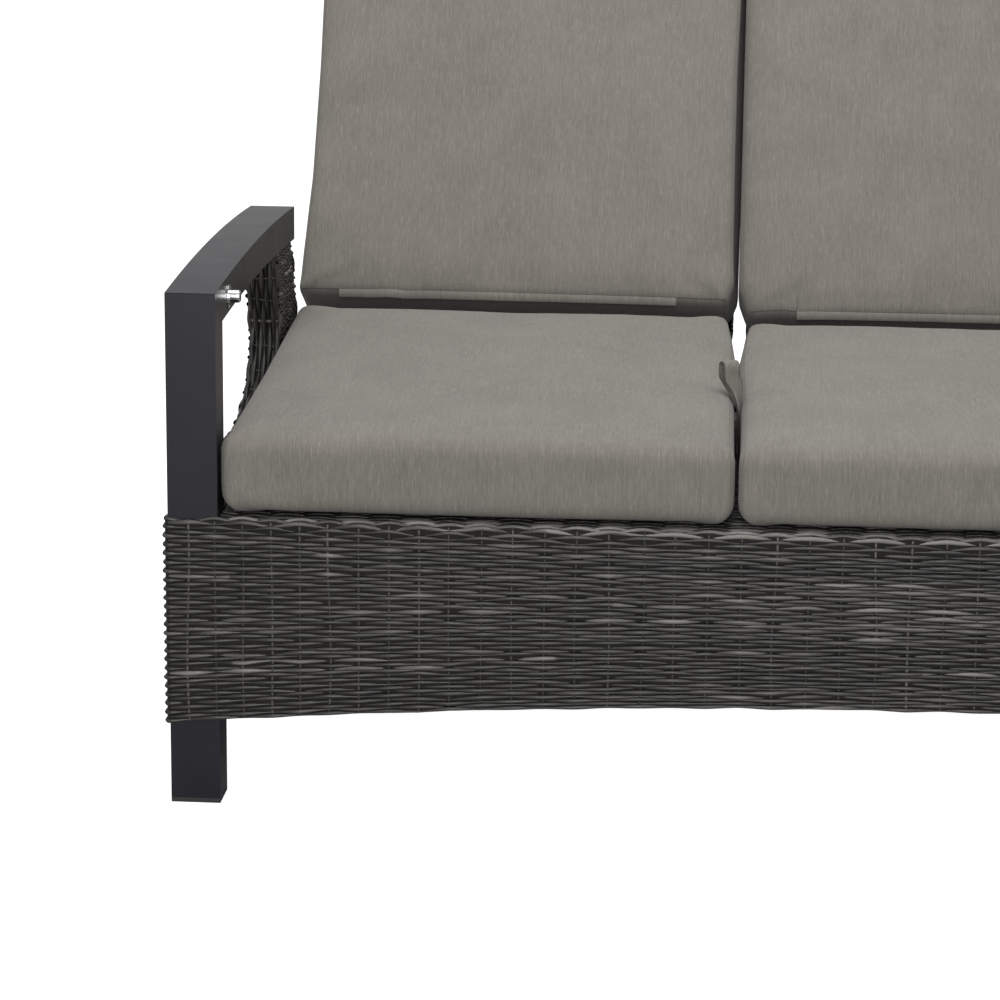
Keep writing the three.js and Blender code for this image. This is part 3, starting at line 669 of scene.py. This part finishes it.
# Woven arm supports: rows along both sides, heavier upright cane down the front and rear edges
SUPPORT_FRONT = [
    (0.742, 1), (0.757, 0.796), (0.78, 0.672), (0.8, 0.549), (0.794, 0.438),
    (0.758, 0.285), (0.693, 0.183), (0.545, 0.077), (0.49, 0),
]
SUPPORT_REAR = [(1.128, 0), (1.075, 0.27), (1.049, 0.48), (1.009, 0.79), (0.958, 1)]
ARM_LENGTH = 0.674
ARM_HEIGHT = 0.627
ARM_LIFT = 0.0065
ARM_CROWN = 0.0095
ARM_THICKNESS = 0.045
FRONT_POST = post_low[1]


def rail_underside(depth):
    """Height of the arm rail's lower side, as in the frame."""
    share = (depth - FRONT_POST) / ARM_LENGTH
    return ARM_HEIGHT + ARM_LIFT * share + ARM_CROWN * 4 * share * (1 - share) - ARM_THICKNESS


def support_edge(points):
    """An edge of the support as places and heights from the deck up, its corners softened."""
    low = low_high("left_arm_weave")[0][2]
    edge = []
    for depth, rise in points:
        y = FRONT_POST + depth * ARM_LENGTH
        edge.append((y, low + rise * (rail_underside(y) - low)))
    edge.sort(key=lambda p: p[1])
    y, z = np.array(edge).T
    heights = np.linspace(z[0], z[-1], 60)
    places = np.interp(heights, z, y)
    for _ in range(6):
        places[1:-1] = (places[:-2] + 2 * places[1:-1] + places[2:]) / 4
    return places, heights


front_edge, front_heights = support_edge(SUPPORT_FRONT)
rear_edge, rear_heights = support_edge(SUPPORT_REAR)


def support_face(x, sign, inset):
    """Flat side of a support, with along as a share from its front edge to its rear edge."""
    def surface(along, height):
        y0 = np.interp(height, front_heights, front_edge) + inset
        y1 = np.interp(height, rear_heights, rear_edge) - inset
        place = joined(np.full(along.shape, x), y0 + (y1 - y0) * along, height)
        return place, np.broadcast_to([sign, 0, 0.0], place.shape)

    return surface


def edge_face(edge, heights, x0, x1, sign, radius):
    """Front or rear edge of a support: along runs up the edge and height runs across it."""
    length = np.concatenate([[0], np.cumsum(np.hypot(np.diff(edge), np.diff(heights)))])
    turn = radius * math.pi / 2

    line = (edge, heights)

    def surface(along, across):
        y, z = at_length(along, length, line)
        dy, dz = at_length(along + 0.002, length, line) - at_length(along - 0.002, length, line)
        out = unit(joined(0 * y, sign * dz, -sign * dy))
        flat = (x1 - x0) / 2 - radius
        middle = (x0 + x1) / 2
        over = np.clip(np.abs(across) - flat, 0, turn * 1.3)
        angle = over / radius
        side = np.sign(across)[:, None] * np.array([1.0, 0, 0])
        place = joined(middle + np.clip(across, -flat, flat), y, z)
        sine, cosine = np.sin(angle)[:, None], np.cos(angle)[:, None]
        place = place + side * (radius * sine) - out * (radius * (1 - cosine))
        return place, unit(out * cosine + side * sine)

    return surface, float(length[-1])


for name, sign in SIDES:
    low, high = low_high(f"{name}_arm_weave")
    weave = Weave()
    for x, facing, seed in ((low[0], -1, 51), (high[0], 1, 52)):
        rows = level(np.arange(low[2] + 0.003, front_heights[-1] - 0.002, 0.0062))
        woven(
            weave, support_face(x, facing, inset=0.005), np.linspace(0, 1, 13), rows,
            seed + sign, fade=False, lift=0.0019, sink=0.0026,
        )
    for edge, heights, facing, seed in (
        (front_edge, front_heights, -1, 61), (rear_edge, rear_heights, 1, 62),
    ):
        surface, length = edge_face(edge, heights, low[0], high[0], facing, radius=0.007)
        stops = np.linspace(0.001, length - 0.001, max(3, round(length / 0.032)))
        woven(
            weave, surface, stops, level(np.linspace(-0.0235, 0.0235, 9)), seed + sign,
            per_stake=8, fade=False, width=0.0062, thickness=0.0044, lift=0.0024, sink=0.0022,
            stake_width=0.0042,
        )
    wicker(weave, f"{name}_woven_arm_support", f"{name}_arm_weave")
    outline = [*zip(front_edge + 0.004, front_heights)]
    outline += [*zip((rear_edge - 0.004)[::-1], rear_heights[::-1])]
    panel_core(f"{name}_arm_core", outline, 0, low[0] + 0.003, high[0] - 0.003)


# Woven backs, each in its own plane: across, behind and up from its pivot
RECLINE = math.radians(31)
FRAME_SETBACK = 0.013
FRAME_START = 0.012
FRAME_TUBE = 0.025
WEAVE_OVER = 0.005
PANEL_HALF = low_high("middle_back_weave")[1][0]
PANEL_BOTTOM = FRAME_START - WEAVE_OVER
PANEL_TOP = PANEL_BOTTOM + 0.638
PANEL_REAR = FRAME_SETBACK + FRAME_TUBE + WEAVE_OVER
PANEL_RADIUS = 0.065
PIVOT_Y = 0.1929711
PIVOT_Z = 0.4


def leaned(points):
    """Takes points from a back's own plane to the sofa, at the angle it stands at."""
    x, y, z = points[..., 0], points[..., 1], points[..., 2]
    c, s = math.cos(RECLINE), math.sin(RECLINE)
    return joined(x, PIVOT_Y + y * c + z * s, PIVOT_Z + z * c - y * s)


def turned(directions):
    """Turns directions from a back's own plane to the sofa."""
    return leaned(directions) - leaned(np.zeros(3))


def panel_half(height):
    """Half the panel's width at a height, less where its corners are rounded."""
    near = np.minimum(height - PANEL_BOTTOM, PANEL_TOP - height)
    drop = np.clip(PANEL_RADIUS - near, 0, PANEL_RADIUS)
    return PANEL_HALF - PANEL_RADIUS + np.sqrt(np.clip(PANEL_RADIUS**2 - drop**2, 0, None))


def back_rear(x):
    """Rear face of a back, with along as a share of its width."""
    def surface(along, height):
        half = panel_half(height) - 0.022
        place = joined(x + along * half, np.full(along.shape, PANEL_REAR - 0.001), height)
        return leaned(place), turned(np.broadcast_to([0, 1.0, 0], place.shape))

    return surface


def rounded_outline(half, low, high, radius, steps=10):
    """Points round a rounded rectangle, counter-clockwise from its lower right corner."""
    points = []
    for cx, cz, start in (
        (half - radius, low + radius, -90), (half - radius, high - radius, 0),
        (radius - half, high - radius, 90), (radius - half, low + radius, 180),
    ):
        for angle in np.radians(np.linspace(start, start + 90, steps)):
            points.append((cx + radius * math.cos(angle), cz + radius * math.sin(angle)))
    return np.array(points)


def even_round(outline, pitch):
    """Evenly spaced places round a closed outline with their outward directions."""
    ring = np.vstack([outline, outline[:1]])
    length = lengths(ring)
    count = round(length[-1] / pitch)
    at = np.arange(count) * length[-1] / count
    places = at_length(at, length, ring.T)
    dx, dz = at_length((at + 0.003) % length[-1], length, ring.T) - places
    return places.T, unit(joined(dz, -dx))


WRAP_PITCH = 0.0064
WRAP_WIDTH = 0.0066
WRAP_THICKNESS = 0.0028
WRAP_TONE = 0.5


def wrapped_edge(weave, x, rng):
    """Cane wound over the back's edge, from its front to the inside of its rear face."""
    outline = rounded_outline(PANEL_HALF, PANEL_BOTTOM, PANEL_TOP, PANEL_RADIUS)
    places, outs = even_round(outline, WRAP_PITCH)
    front = FRAME_SETBACK + 0.003
    inward = np.array([-0.003, 0, 0, -0.0024, -0.008, -0.020, -0.0255])
    behind = PANEL_REAR - np.array([0.008, 0.0024, 0, 0, 0.0035])
    depth = np.array([front, front + 0.004, *behind])
    tilt = np.array([(0.9, -0.4), (1, 0), (1, 0), (0.7, 0.7), (0, 1), (0, 1), (-0.7, 0.7)])
    for (cx, cz), (ox, oz) in zip(places, outs):
        lift = min(rng.normal(0.0, 0.0004), 0.0001)
        aside = inward + lift
        line = joined(x + cx + ox * aside, depth + lift * tilt[:, 1], cz + oz * aside)
        out = joined(ox * tilt[:, 0], tilt[:, 1], oz * tilt[:, 0])
        weave.strand(
            leaned(line), unit(turned(out)), WRAP_WIDTH, WRAP_THICKNESS,
            WRAP_TONE + rng.normal(0, 0.17), start=rng.uniform(0, 9),
        )


def seat_x(name):
    """Where the middle of a seat lies across the sofa."""
    low, high = low_high(f"{name}_back_cushion")
    return (low[0] + high[0]) / 2


CORE_INSET = 0.004
for number, name in enumerate(SEATS):
    x = seat_x(name)
    weave = Weave()
    rows = level(np.arange(PANEL_BOTTOM + 0.024, PANEL_TOP - 0.022, WRAP_PITCH))
    woven(
        weave, back_rear(x), np.linspace(-1, 1, 17), rows, 71 + number, fade=False, lift=0.0019,
        sink=0.0026,
    )
    wrapped_edge(weave, x, np.random.default_rng(81 + number))
    wicker(weave, f"{name}_woven_back", f"{name}_back_weave", body=f"{name}_back")
    # Core behind the back's weave, dark as painted shade of the panel's hollow inside
    ring = rounded_outline(
        PANEL_HALF - CORE_INSET, PANEL_BOTTOM + CORE_INSET, PANEL_TOP - CORE_INSET,
        PANEL_RADIUS - CORE_INSET,
    )
    core_points = np.array(
        [(x + a, PANEL_REAR - depth, b) for depth in (0.0046, 0.0026) for a, b in ring]
    )
    n = len(ring)
    order = np.arange(n)
    after = (order + 1) % n
    walls = joined(order, order + n, after + n, after)
    core = mesh_piece(
        f"{name}_back_core", leaned(core_points), [order[None], order[None, ::-1] + n, walls],
        SHADE_CORE, body=f"{name}_back", smooth=False,
    )


# Cushions: padded boxes blown up as cloth, with seams and a zip added afterwards
PAD_CELLS = (64, 66, 14)
SWELL_CAP = 0.006
# Width of each seam and how deep it lies in the cloth
END_SEAM = (0.0022, 0.0006)
ZIP_SEAM = (0.0026, 0.0004)
CROSS_SEAM = (0.0024, 0.0004)
# Height of a seam as a share of its width, and the tone that cloth strands carry without using it
SEAM_HEIGHT = 0.7
CLOTH_TONE = 0.5


def padded_box(half, *, radius, crown, draw_in, rear_rise):
    """Closed rounded box, its crown on the upper side: points, faces and each grid place's number."""
    nx, ny, nz = PAD_CELLS
    index, points, faces = {}, [], []

    def number(i, j, k):
        key = (i, j, k)
        if key not in index:
            index[key] = len(points)
            points.append((2 * i / nx - 1, 2 * j / ny - 1, 2 * k / nz - 1))
        return index[key]

    def both_faces(n, m, corner):
        """Two opposite faces of the box, wound so that they face out."""
        for a in range(n):
            for b in range(m):
                ring = [(a, b), (a + 1, b), (a + 1, b + 1), (a, b + 1)]
                faces.append([number(*corner(p, q, False)) for p, q in ring[::-1]])
                faces.append([number(*corner(p, q, True)) for p, q in ring])

    both_faces(nx, ny, lambda a, b, high: (a, b, nz if high else 0))
    both_faces(ny, nz, lambda a, b, high: (nx if high else 0, a, b))
    both_faces(nz, nx, lambda a, b, high: (b, ny if high else 0, a))
    share = np.sin(np.array(points) * math.pi / 2)
    half = np.asarray(half)
    place = share * half
    core = np.clip(place, radius - half, half - radius)
    place = core + unit(place - core + 1e-9) * radius
    a, b, c = share.T
    top = (c + 1) / 2
    place[:, 2] += top * (crown * (1 - a * a) * (1 - b * b) + rear_rise * (b + 1) / 2)
    place[:, 0] -= a**3 * draw_in * (1 - b * b)
    place[:, 1] -= b**3 * draw_in * (1 - a * a)
    return place, np.array(faces), index


SWELLING_FRAMES = 20
SWELLING = {
    "use_pressure": True, "uniform_pressure_force": 2.6, "tension_stiffness": 14,
    "compression_stiffness": 14, "shear_stiffness": 8, "bending_stiffness": 0.8, "mass": 0.35,
    "shrink_min": -0.012,
}


def blown(points, faces):
    """Swells a closed shape as cloth for some frames and returns its points, moved within a cap."""
    mesh = bpy.data.meshes.new("swelling")
    mesh.from_pydata(points.tolist(), [], faces.tolist())
    made = added("swelling", mesh)
    fabric = made.modifiers.new("cloth", "CLOTH")
    for title, value in SWELLING.items():
        setattr(fabric.settings, title, value)
    fabric.settings.effector_weights.gravity = 0
    fabric.point_cache.frame_start = 1
    fabric.point_cache.frame_end = SWELLING_FRAMES
    scene = bpy.context.scene
    for step in range(1, SWELLING_FRAMES + 1):
        scene.frame_set(step)
    shaped = made.evaluated_get(bpy.context.evaluated_depsgraph_get())
    moved = np.array([v.co for v in shaped.data.vertices])
    scene.frame_set(1)
    bpy.data.objects.remove(made)
    bpy.data.meshes.remove(mesh)
    move = moved - points
    size = np.linalg.norm(move, axis=1, keepdims=True)
    return points + move * np.minimum(1, SWELL_CAP / np.maximum(size, 1e-9))


def fitted(points, low, high):
    """Stretches points to fill a box."""
    start, end = points.min(axis=0), points.max(axis=0)
    return low + (points - start) * (high - low) / (end - start)


def straightened(points, index, middle, half):
    """Widens each row of a swollen cushion to the same half width, less at its rounded corners."""
    rows = np.array(list(index))[:, 1]
    last = rows.max()
    for j in range(1, last):
        row = rows == j
        offset = points[row, 0] - middle
        for sign in (-1, 1):
            reach = (offset * sign).max()
            wanted = reach + (half - reach) * min(1, min(j, last - j) / 7)
            offset = np.where(offset * sign > 0, offset * wanted / reach, offset)
        points[row, 0] = middle + offset
    return points


def wavy(points, rng, size, reach=1.0):
    """A sum of broad waves, which gives soft fabric its uneven faces."""
    total = np.zeros(len(points))
    for _ in range(7):
        direction = rng.normal(0, 1, 3)
        direction /= np.linalg.norm(direction)
        total += np.sin(points @ direction * rng.uniform(6, 17) * reach + rng.uniform(0, 6.28))
    return total / 7 * size


def dented(points, centre, spread, push):
    """Pushes the points round a place by a vector that fades with distance."""
    away = (points - np.asarray(centre)) / np.asarray(spread)
    fade = np.exp(-(away**2).sum(axis=1))
    return points + fade[:, None] * np.asarray(push)


def outward(points, faces):
    """The outward direction at each point of a closed shape."""
    a, b, c, d = (points[faces[:, i]] for i in range(4))
    face_out = np.cross(c - a, d - b)
    total = np.zeros_like(points)
    for i in range(4):
        np.add.at(total, faces[:, i], face_out)
    return unit(total)


def end_round(sign):
    """Grid places round the edge of an end panel, from its lower front corner and back to it."""
    nx, ny, nz = PAD_CELLS
    i = nx if sign > 0 else 0
    ring = [(i, j, 0) for j in range(ny)] + [(i, ny, k) for k in range(nz)]
    ring += [(i, j, nz) for j in range(ny, 0, -1)] + [(i, 0, k) for k in range(nz, -1, -1)]
    return ring


def cushion(name, kind, points, outs, faces, index, lines=()):
    """A cushion and its seams: one round each end, and more lines with their width and depth."""
    body = f"{name}_back" if kind == "back" else "frame"
    pad = mesh_piece(f"{name}_{kind}_pad", points, [faces], CLOTH, body=body)
    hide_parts(f"{name}_{kind}_cushion")
    sewing = Weave()
    ends = [(end_round(side), END_SEAM) for side in (-1, 1)]
    for places, (width, sunk) in (*ends, *lines):
        numbers = [index[place] for place in places]
        normals = outs[numbers]
        line = points[numbers] - normals * sunk
        sewing.strand(line, normals, width, width * SEAM_HEIGHT, CLOTH_TONE)
    seams = sewing.piece(f"{name}_{kind}_seams", CLOTH_DARK, body=body)


# Seat cushions: how far each draws in at its left and right, and how much higher it lies, at the rear
REAR_DRAWN = {"left": (0.001, 0.011), "middle": (0.006, 0.006), "right": (0.006, 0.001)}
REAR_LIFT = {"left": 0.003, "middle": -0.0075, "right": 0.0}
# How far each reaches past its solid at both sides, and room for its swelling and its rise
SEAT_OVER = 0.0022
SEAT_ROOM = np.array([0.003, 0.003, 0.024])
# Height of the waves in the upper side and in the front, and of the swell at the rear
UPPER_WAVES = 0.0022
FRONT_WAVES = 0.0012
REAR_SWELL = 0.0032
# How far the sides draw in at the rear corners and towards the lower edge, and over what height
REAR_TUCK = 0.005
LOWER_TUCK = 0.009
TUCK_HEIGHT = 0.036

for number, name in enumerate(SEATS):
    rng = np.random.default_rng(101 + number)
    low, high = low_high(f"{name}_seat_cushion")
    low[0] -= SEAT_OVER
    high[0] += SEAT_OVER
    half = (high - low) / 2 - SEAT_ROOM
    points, faces, index = padded_box(half, radius=0.019, crown=0.005, draw_in=0.002, rear_rise=0.042)
    points = fitted(blown(points, faces), low, high)
    middle = (low + high) / 2
    upper = held((points[:, 2] - middle[2]) / (high[2] - middle[2]))
    points[:, 2] += wavy(points, rng, UPPER_WAVES) * upper
    behind = held((points[:, 1] - low[1]) / (high[1] - low[1]))
    points[:, 2] += REAR_LIFT[name] * upper * behind
    points[:, 1] += wavy(points, rng, FRONT_WAVES, 1.4) * (points[:, 1] < low[1] + 0.03)
    across, along = ((points[:, i] - middle[i]) * 2 / (high[i] - low[i]) for i in (0, 1))
    rear = held((along + 1) / 2) ** 3
    points[:, 2] += REAR_SWELL * upper * rear * (1 - held(np.abs(across)) ** 8)
    drawn = np.where(across < 0, *REAR_DRAWN[name]) * held((along - 0.5) / 0.5) ** 1.3
    drawn += REAR_TUCK * held((along - 0.9) / 0.1) ** 2
    drawn += LOWER_TUCK * held(1 - (points[:, 2] - low[2]) / TUCK_HEIGHT) ** 2
    points[:, 0] -= np.sign(across) * np.abs(across) ** 10 * drawn
    if name == "middle":
        full = np.exp(-(((along - 0.3) / 0.45) ** 2)) * held(-across) ** 10
        points[:, 0] -= 0.0050 * full
        for shift, push in ((0.022, 0.0024), (0.034, 0.0016)):
            place = low + np.array([shift, 0.004, 0.078])
            points = dented(points, place, (0.003, 0.02, 0.014), (0, push, -push))
    cushion(name, "seat", points, outward(points, faces), faces, index)


# Back cushions, each made in its back's own plane with a zip along its lower edge
def laid_back(points):
    """Stands a cushion that was made lying down on its lower edge, with its crown to the front."""
    return joined(points[:, 0], -points[:, 2], points[:, 1])


# Moves of the cushions' sides from front to rear: a rounded valley that closes behind
RIGHT_SIDE = ((0, 0.5, 0.8, 1), (-0.003, -0.003, -0.0005, -0.0005))
LEFT_SIDE = ((0, 0.15, 0.4, 0.6, 0.8, 1), (0.007, 0.002, -0.005, -0.005, -0.003, -0.003))
# The valley between the left and the middle cushion lies further left up their height
VALLEY_DRIFT = ((0, 0.05, 0.15, 0.36, 0.6, 1), (-0.0045, -0.0070, -0.0095, -0.011, -0.011, -0.006))
# Reach and depth of the rounding at the cushions' lower inner corners
LOW_CORNERS = {"left": (0.065, 0.014), "middle": (0.080, 0.016), "right": (0.070, 0.012)}


def side_moves(name, across, deep, rise):
    """How far each point moves across, so that a back cushion's sides fit its neighbours."""
    right, left = (held(share) ** 6 for share in (across, -across))
    drift = np.interp(rise, *VALLEY_DRIFT) * np.interp(deep, (0.5, 0.8), (1, 0))
    to_right = 0 * deep if name == "right" else np.interp(deep, *RIGHT_SIDE)
    if name == "left":
        drawn = 0.008 * np.interp(rise, (0.03, 0.30, 0.6, 1.0), (0, 1, 1, 0.4))
        drawn = drawn * held(-across) ** 3
        flare = 0.003 * held(1 - rise / 0.15) * deep * left
        to_right += drift + 0.003 * np.interp(deep, (0.5, 0.8), (1, 0))
        return right * to_right - left * 0.0028 * (1 - 2.6 * np.abs(deep - 0.18)) + drawn - flare
    to_left = np.interp(deep, *LEFT_SIDE) + (drift if name == "middle" else 0)
    return right * to_right + left * np.maximum(to_left, -0.005)


# How far each cushion's lower edge lies above the usual place, and the columns its zip flap covers
LOWER_EDGE = {"left": 0.0105, "middle": -0.0065, "right": 0.0}
FLAP_COLUMNS = {"left": (13, 49), "middle": (15, 50), "right": (12, 49)}
BACK_PAD_HALF = 0.3055
BACK_PAD_START = 0.060
BACK_PAD_TOP = 0.660
# How far its front and its rear lie before the back's frame
BACK_PAD_FRONT = 0.1213
BACK_PAD_REAR = 0.0003
# Its rounding at its left front corner, its waves, and how far left of its middle its creases lie
FRONT_ROUNDING = 0.010
BACK_WAVES = 0.0032
CREASE_ASIDE = {"left": 0.156, "middle": 0.226, "right": 0.226}
# Row of the grid that the zip runs along
ZIP_ROW = 3
# Zip flap: the way it hangs, where it lies from the zip, and its width and thickness
FLAP_HANG = np.array([0, -0.906, -0.423])
FLAP_SHIFT = np.array([0, 0.0016, -0.0058])
FLAP_SIZE = (0.0130, 0.0022)

for number, name in enumerate(SEATS):
    rng = np.random.default_rng(201 + number)
    x = seat_x(name)
    points, faces, index = padded_box(
        (0.300, 0.296, 0.048), radius=0.015, crown=0.008, draw_in=0.001, rear_rise=0.0
    )
    points = laid_back(blown(points, faces))
    bottom = BACK_PAD_START + LOWER_EDGE[name]
    low = np.array([x - BACK_PAD_HALF, FRAME_SETBACK - BACK_PAD_FRONT, bottom])
    high = np.array([x + BACK_PAD_HALF, FRAME_SETBACK - BACK_PAD_REAR, BACK_PAD_TOP])
    points = straightened(fitted(points, low, high), index, x, BACK_PAD_HALF)
    deep, rise = ((points[:, i] - low[i]) / (high[i] - low[i]) for i in (1, 2))
    across = (points[:, 0] - x) / BACK_PAD_HALF
    points[:, 0] += side_moves(name, across, deep, rise)
    rounding = held((-across - 0.87) / 0.13) ** 2 if name != "left" else 0 * across
    points[:, 1] += FRONT_ROUNDING * rounding * held(1 - 2 * deep)
    outer = {"left": across < 0, "middle": across > 2, "right": across > 0}[name]
    reach, size = LOW_CORNERS[name]
    low_corner = held(1 - rise / (reach * (1 - 0.2 * deep))) ** 1.1
    low_corner = low_corner * np.where(outer, 0.1, 1)
    points[:, 0] -= size * low_corner * np.sign(across) * np.abs(across) ** 8
    if name == "left":
        points[:, 2] -= 0.0014 * across * held(1 - rise)
    points[:, 1] += wavy(points, rng, BACK_WAVES) * held(0.5 - deep) * 2
    crease_x = x - CREASE_ASIDE[name]
    for aside, behind, above, spread, push in (
        (0, 0.02, 0.02, (0.012, 0.04, 0.03), (0, 0.0060, 0.001)),
        (-0.026, 0.01, 0.04, (0.014, 0.04, 0.06), (0, -0.0042, 0)),
    ):
        points = dented(points, (crease_x + aside, low[1] + behind, low[2] + above), spread, push)
    nx, _, nz = PAD_CELLS
    first, last = FLAP_COLUMNS[name]
    lines = [([(i, ZIP_ROW, nz) for i in range(2, nx - 1)], ZIP_SEAM)]
    if name == "middle":
        crossing = [(first, j, nz) for j in range(9, 0, -1)]
        crossing += [(first, 0, k) for k in range(nz, 8, -1)]
        lines.append((crossing, CROSS_SEAM))
    cushion(name, "back", leaned(points), turned(outward(points, faces)), faces, index, lines)
    flap = Weave()
    places = points[[index[i, ZIP_ROW, nz] for i in range(first, last)]]
    hanging = unit(FLAP_HANG + 0 * places)
    waves = wavy(places, rng, 0.0006, 3.0)[:, None] * hanging
    places = places + FLAP_SHIFT + waves
    flap.strand(leaned(places), turned(hanging), *FLAP_SIZE, CLOTH_TONE)
    cover = flap.piece(f"{name}_zip_flap", CLOTH, body=f"{name}_back")


# Fabric strap that releases the middle back: a loop turned part of the way towards the front
def strap_line(steps=72):
    """Up one side of the loop, over its top and down the other, with its turned edge direction."""
    middle = (strap_low + strap_high) / 2
    reach = 0.0085
    bottom, shoulder = strap_low[2] + 0.001, strap_high[2] - reach + 0.0045
    share = np.linspace(0, 1, steps)
    rise = held(share / 0.44) - held((share - 0.56) / 0.44)
    spread = held((bottom + rise * (shoulder - bottom) - 0.446) / 0.05)
    half = 0.0011 + (reach - 0.0011) * spread * spread * (3 - 2 * spread)
    angle = held((share - 0.44) / 0.12) * math.pi
    across = -half * np.cos(angle)
    z = bottom + rise * (shoulder - bottom) + reach * np.sin(angle)
    over = held((z - 0.448) / 0.045)
    twist = -np.radians(62) * over**1.2
    x = middle[0] - 0.0125 * over**2 + across * np.cos(twist)
    place = joined(x, middle[1] + across * np.sin(twist), z)
    along = unit(np.gradient(place, axis=0))
    edge = joined(-np.sin(twist), np.cos(twist), 0 * twist)
    return place, unit(np.cross(along, edge))


strap = Weave()
places, outs = strap_line()
strap.strand(places, outs, 0.0215, 0.0013, 0.5)
loop_strap = strap.piece("release_strap", CLOTH, body="loop")
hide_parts("release_loop")


# Finishes of the frame's own pieces
FINISHES = (
    (POWDER_COAT, "powder_coated_frame", (
        "front_leg", "rear_leg", "arm_rail", "arm_stay", "side_rail", "cross_rail",
        "front_rail", "rear_rail", "deck_rear_rail", "spring_beam", "front_lower_rail",
        "rear_lower_rail", "back_frame",
    )),
    (BRIGHT_STEEL, "bright_steel", ("hinge_axle", "spring_rod")),
    (CHROME, "button_chrome", ("button_collar", "button")),
    (BLACK_CYLINDER, "black_cylinder", ("spring_cylinder",)),
    (CABLE_BLACK, "cable_black", ("release_cable",)),
    (FOOT_PLASTIC, "foot_plastic", ("front_foot_cap", "rear_foot_cap")),
)


def plain_name(node):
    """A piece's name without its side."""
    return node.split("_", 1)[1] if node.startswith(("left_", "middle_", "right_")) else node


for node in [o for o in bpy.context.scene.objects if "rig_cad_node" in o]:
    for material, slot_name, kinds in FINISHES:
        if plain_name(node["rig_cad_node"]) in kinds:
            for place in node.material_slots:
                place.material = material


# Camera at the photograph's angle: its yaw, pitch and roll in degrees, its place and its lens
CAMERA_TURNS = (4.19, 13.45, 0.59)
CAMERA_PLACE = (-0.31715, -4.2202, 1.2668)
FOCAL_LENGTH = 115.2


def look_camera():
    yaw, pitch, roll = (math.radians(v) for v in CAMERA_TURNS)
    level_share = math.cos(pitch)
    forward = Vector((-math.sin(yaw) * level_share, math.cos(yaw) * level_share, -math.sin(pitch)))
    right = Vector((math.cos(yaw), math.sin(yaw), 0))
    up = right.cross(forward)
    x_axis = right * math.cos(roll) + up * math.sin(roll)
    y_axis = up * math.cos(roll) - right * math.sin(roll)
    turn = Matrix((x_axis, y_axis, -forward)).transposed().to_4x4()
    lens = bpy.data.cameras.new("camera")
    lens.lens = FOCAL_LENGTH
    lens.sensor_width = 36
    lens.clip_end = 60
    camera = added("camera", lens)
    camera.matrix_world = Matrix.Translation(CAMERA_PLACE) @ turn
    bpy.context.scene.camera = camera


look_camera()


# Plain pale floor and soft studio light
def seen_or_lit(nodes, seen, lit):
    """One value where the camera looks straight at it and another where it only gives light."""
    ray = nodes.add("ShaderNodeLightPath").outputs["Is Camera Ray"]
    return nodes.sums("ADD", lit, nodes.sums("MULTIPLY", ray, seen - lit))


def floor_finish():
    material, nodes, shader = finish(
        "pale_floor", Roughness=0.95, Specular_IOR_Level=0.0, Base_Color=(0.42, 0.42, 0.42),
        Emission_Color=(1, 1, 1),
    )
    nodes.fill(shader, {"Emission Strength": seen_or_lit(nodes, 0.97, 0.0)})
    return material


def studio_world():
    """Even white background, with a dimmer even light where it only lights the sofa."""
    world = bpy.data.worlds.new("studio")
    world.use_nodes = True
    nodes = Nodes(world.node_tree)
    sky = world.node_tree.nodes["Background"]
    nodes.fill(sky, {"Color": (1, 1, 1), "Strength": seen_or_lit(nodes, 1.0, 0.55)})
    return world


def studio():
    mesh = bpy.data.meshes.new("floor")
    corners = [(x, y, 0) for x, y in oblong(-40, -40, 40, 40)]
    mesh.from_pydata(corners, [], [(0, 1, 2, 3)])
    mesh.materials.append(floor_finish())
    floor = added("floor", mesh)
    bpy.context.scene.world = studio_world()
    for title, place, aim, size, power in (
        ("overhead_light", (0.0, -0.3, 3.4), (0.0, 0.0, 0.3), 3.2, 89.0),
        ("front_light", (-0.5, -4.6, 1.4), (0.0, 0.0, 0.5), 2.4, 100.0),
    ):
        light = bpy.data.lights.new(title, "AREA")
        light.shape = "SQUARE"
        light.size = size
        light.energy = power
        lamp = added(title, light)
        lamp.location = place
        lamp.rotation_euler = (Vector(aim) - Vector(place)).to_track_quat("-Z", "Y").to_euler()
    bpy.context.scene.view_settings.view_transform = "Standard"


studio()
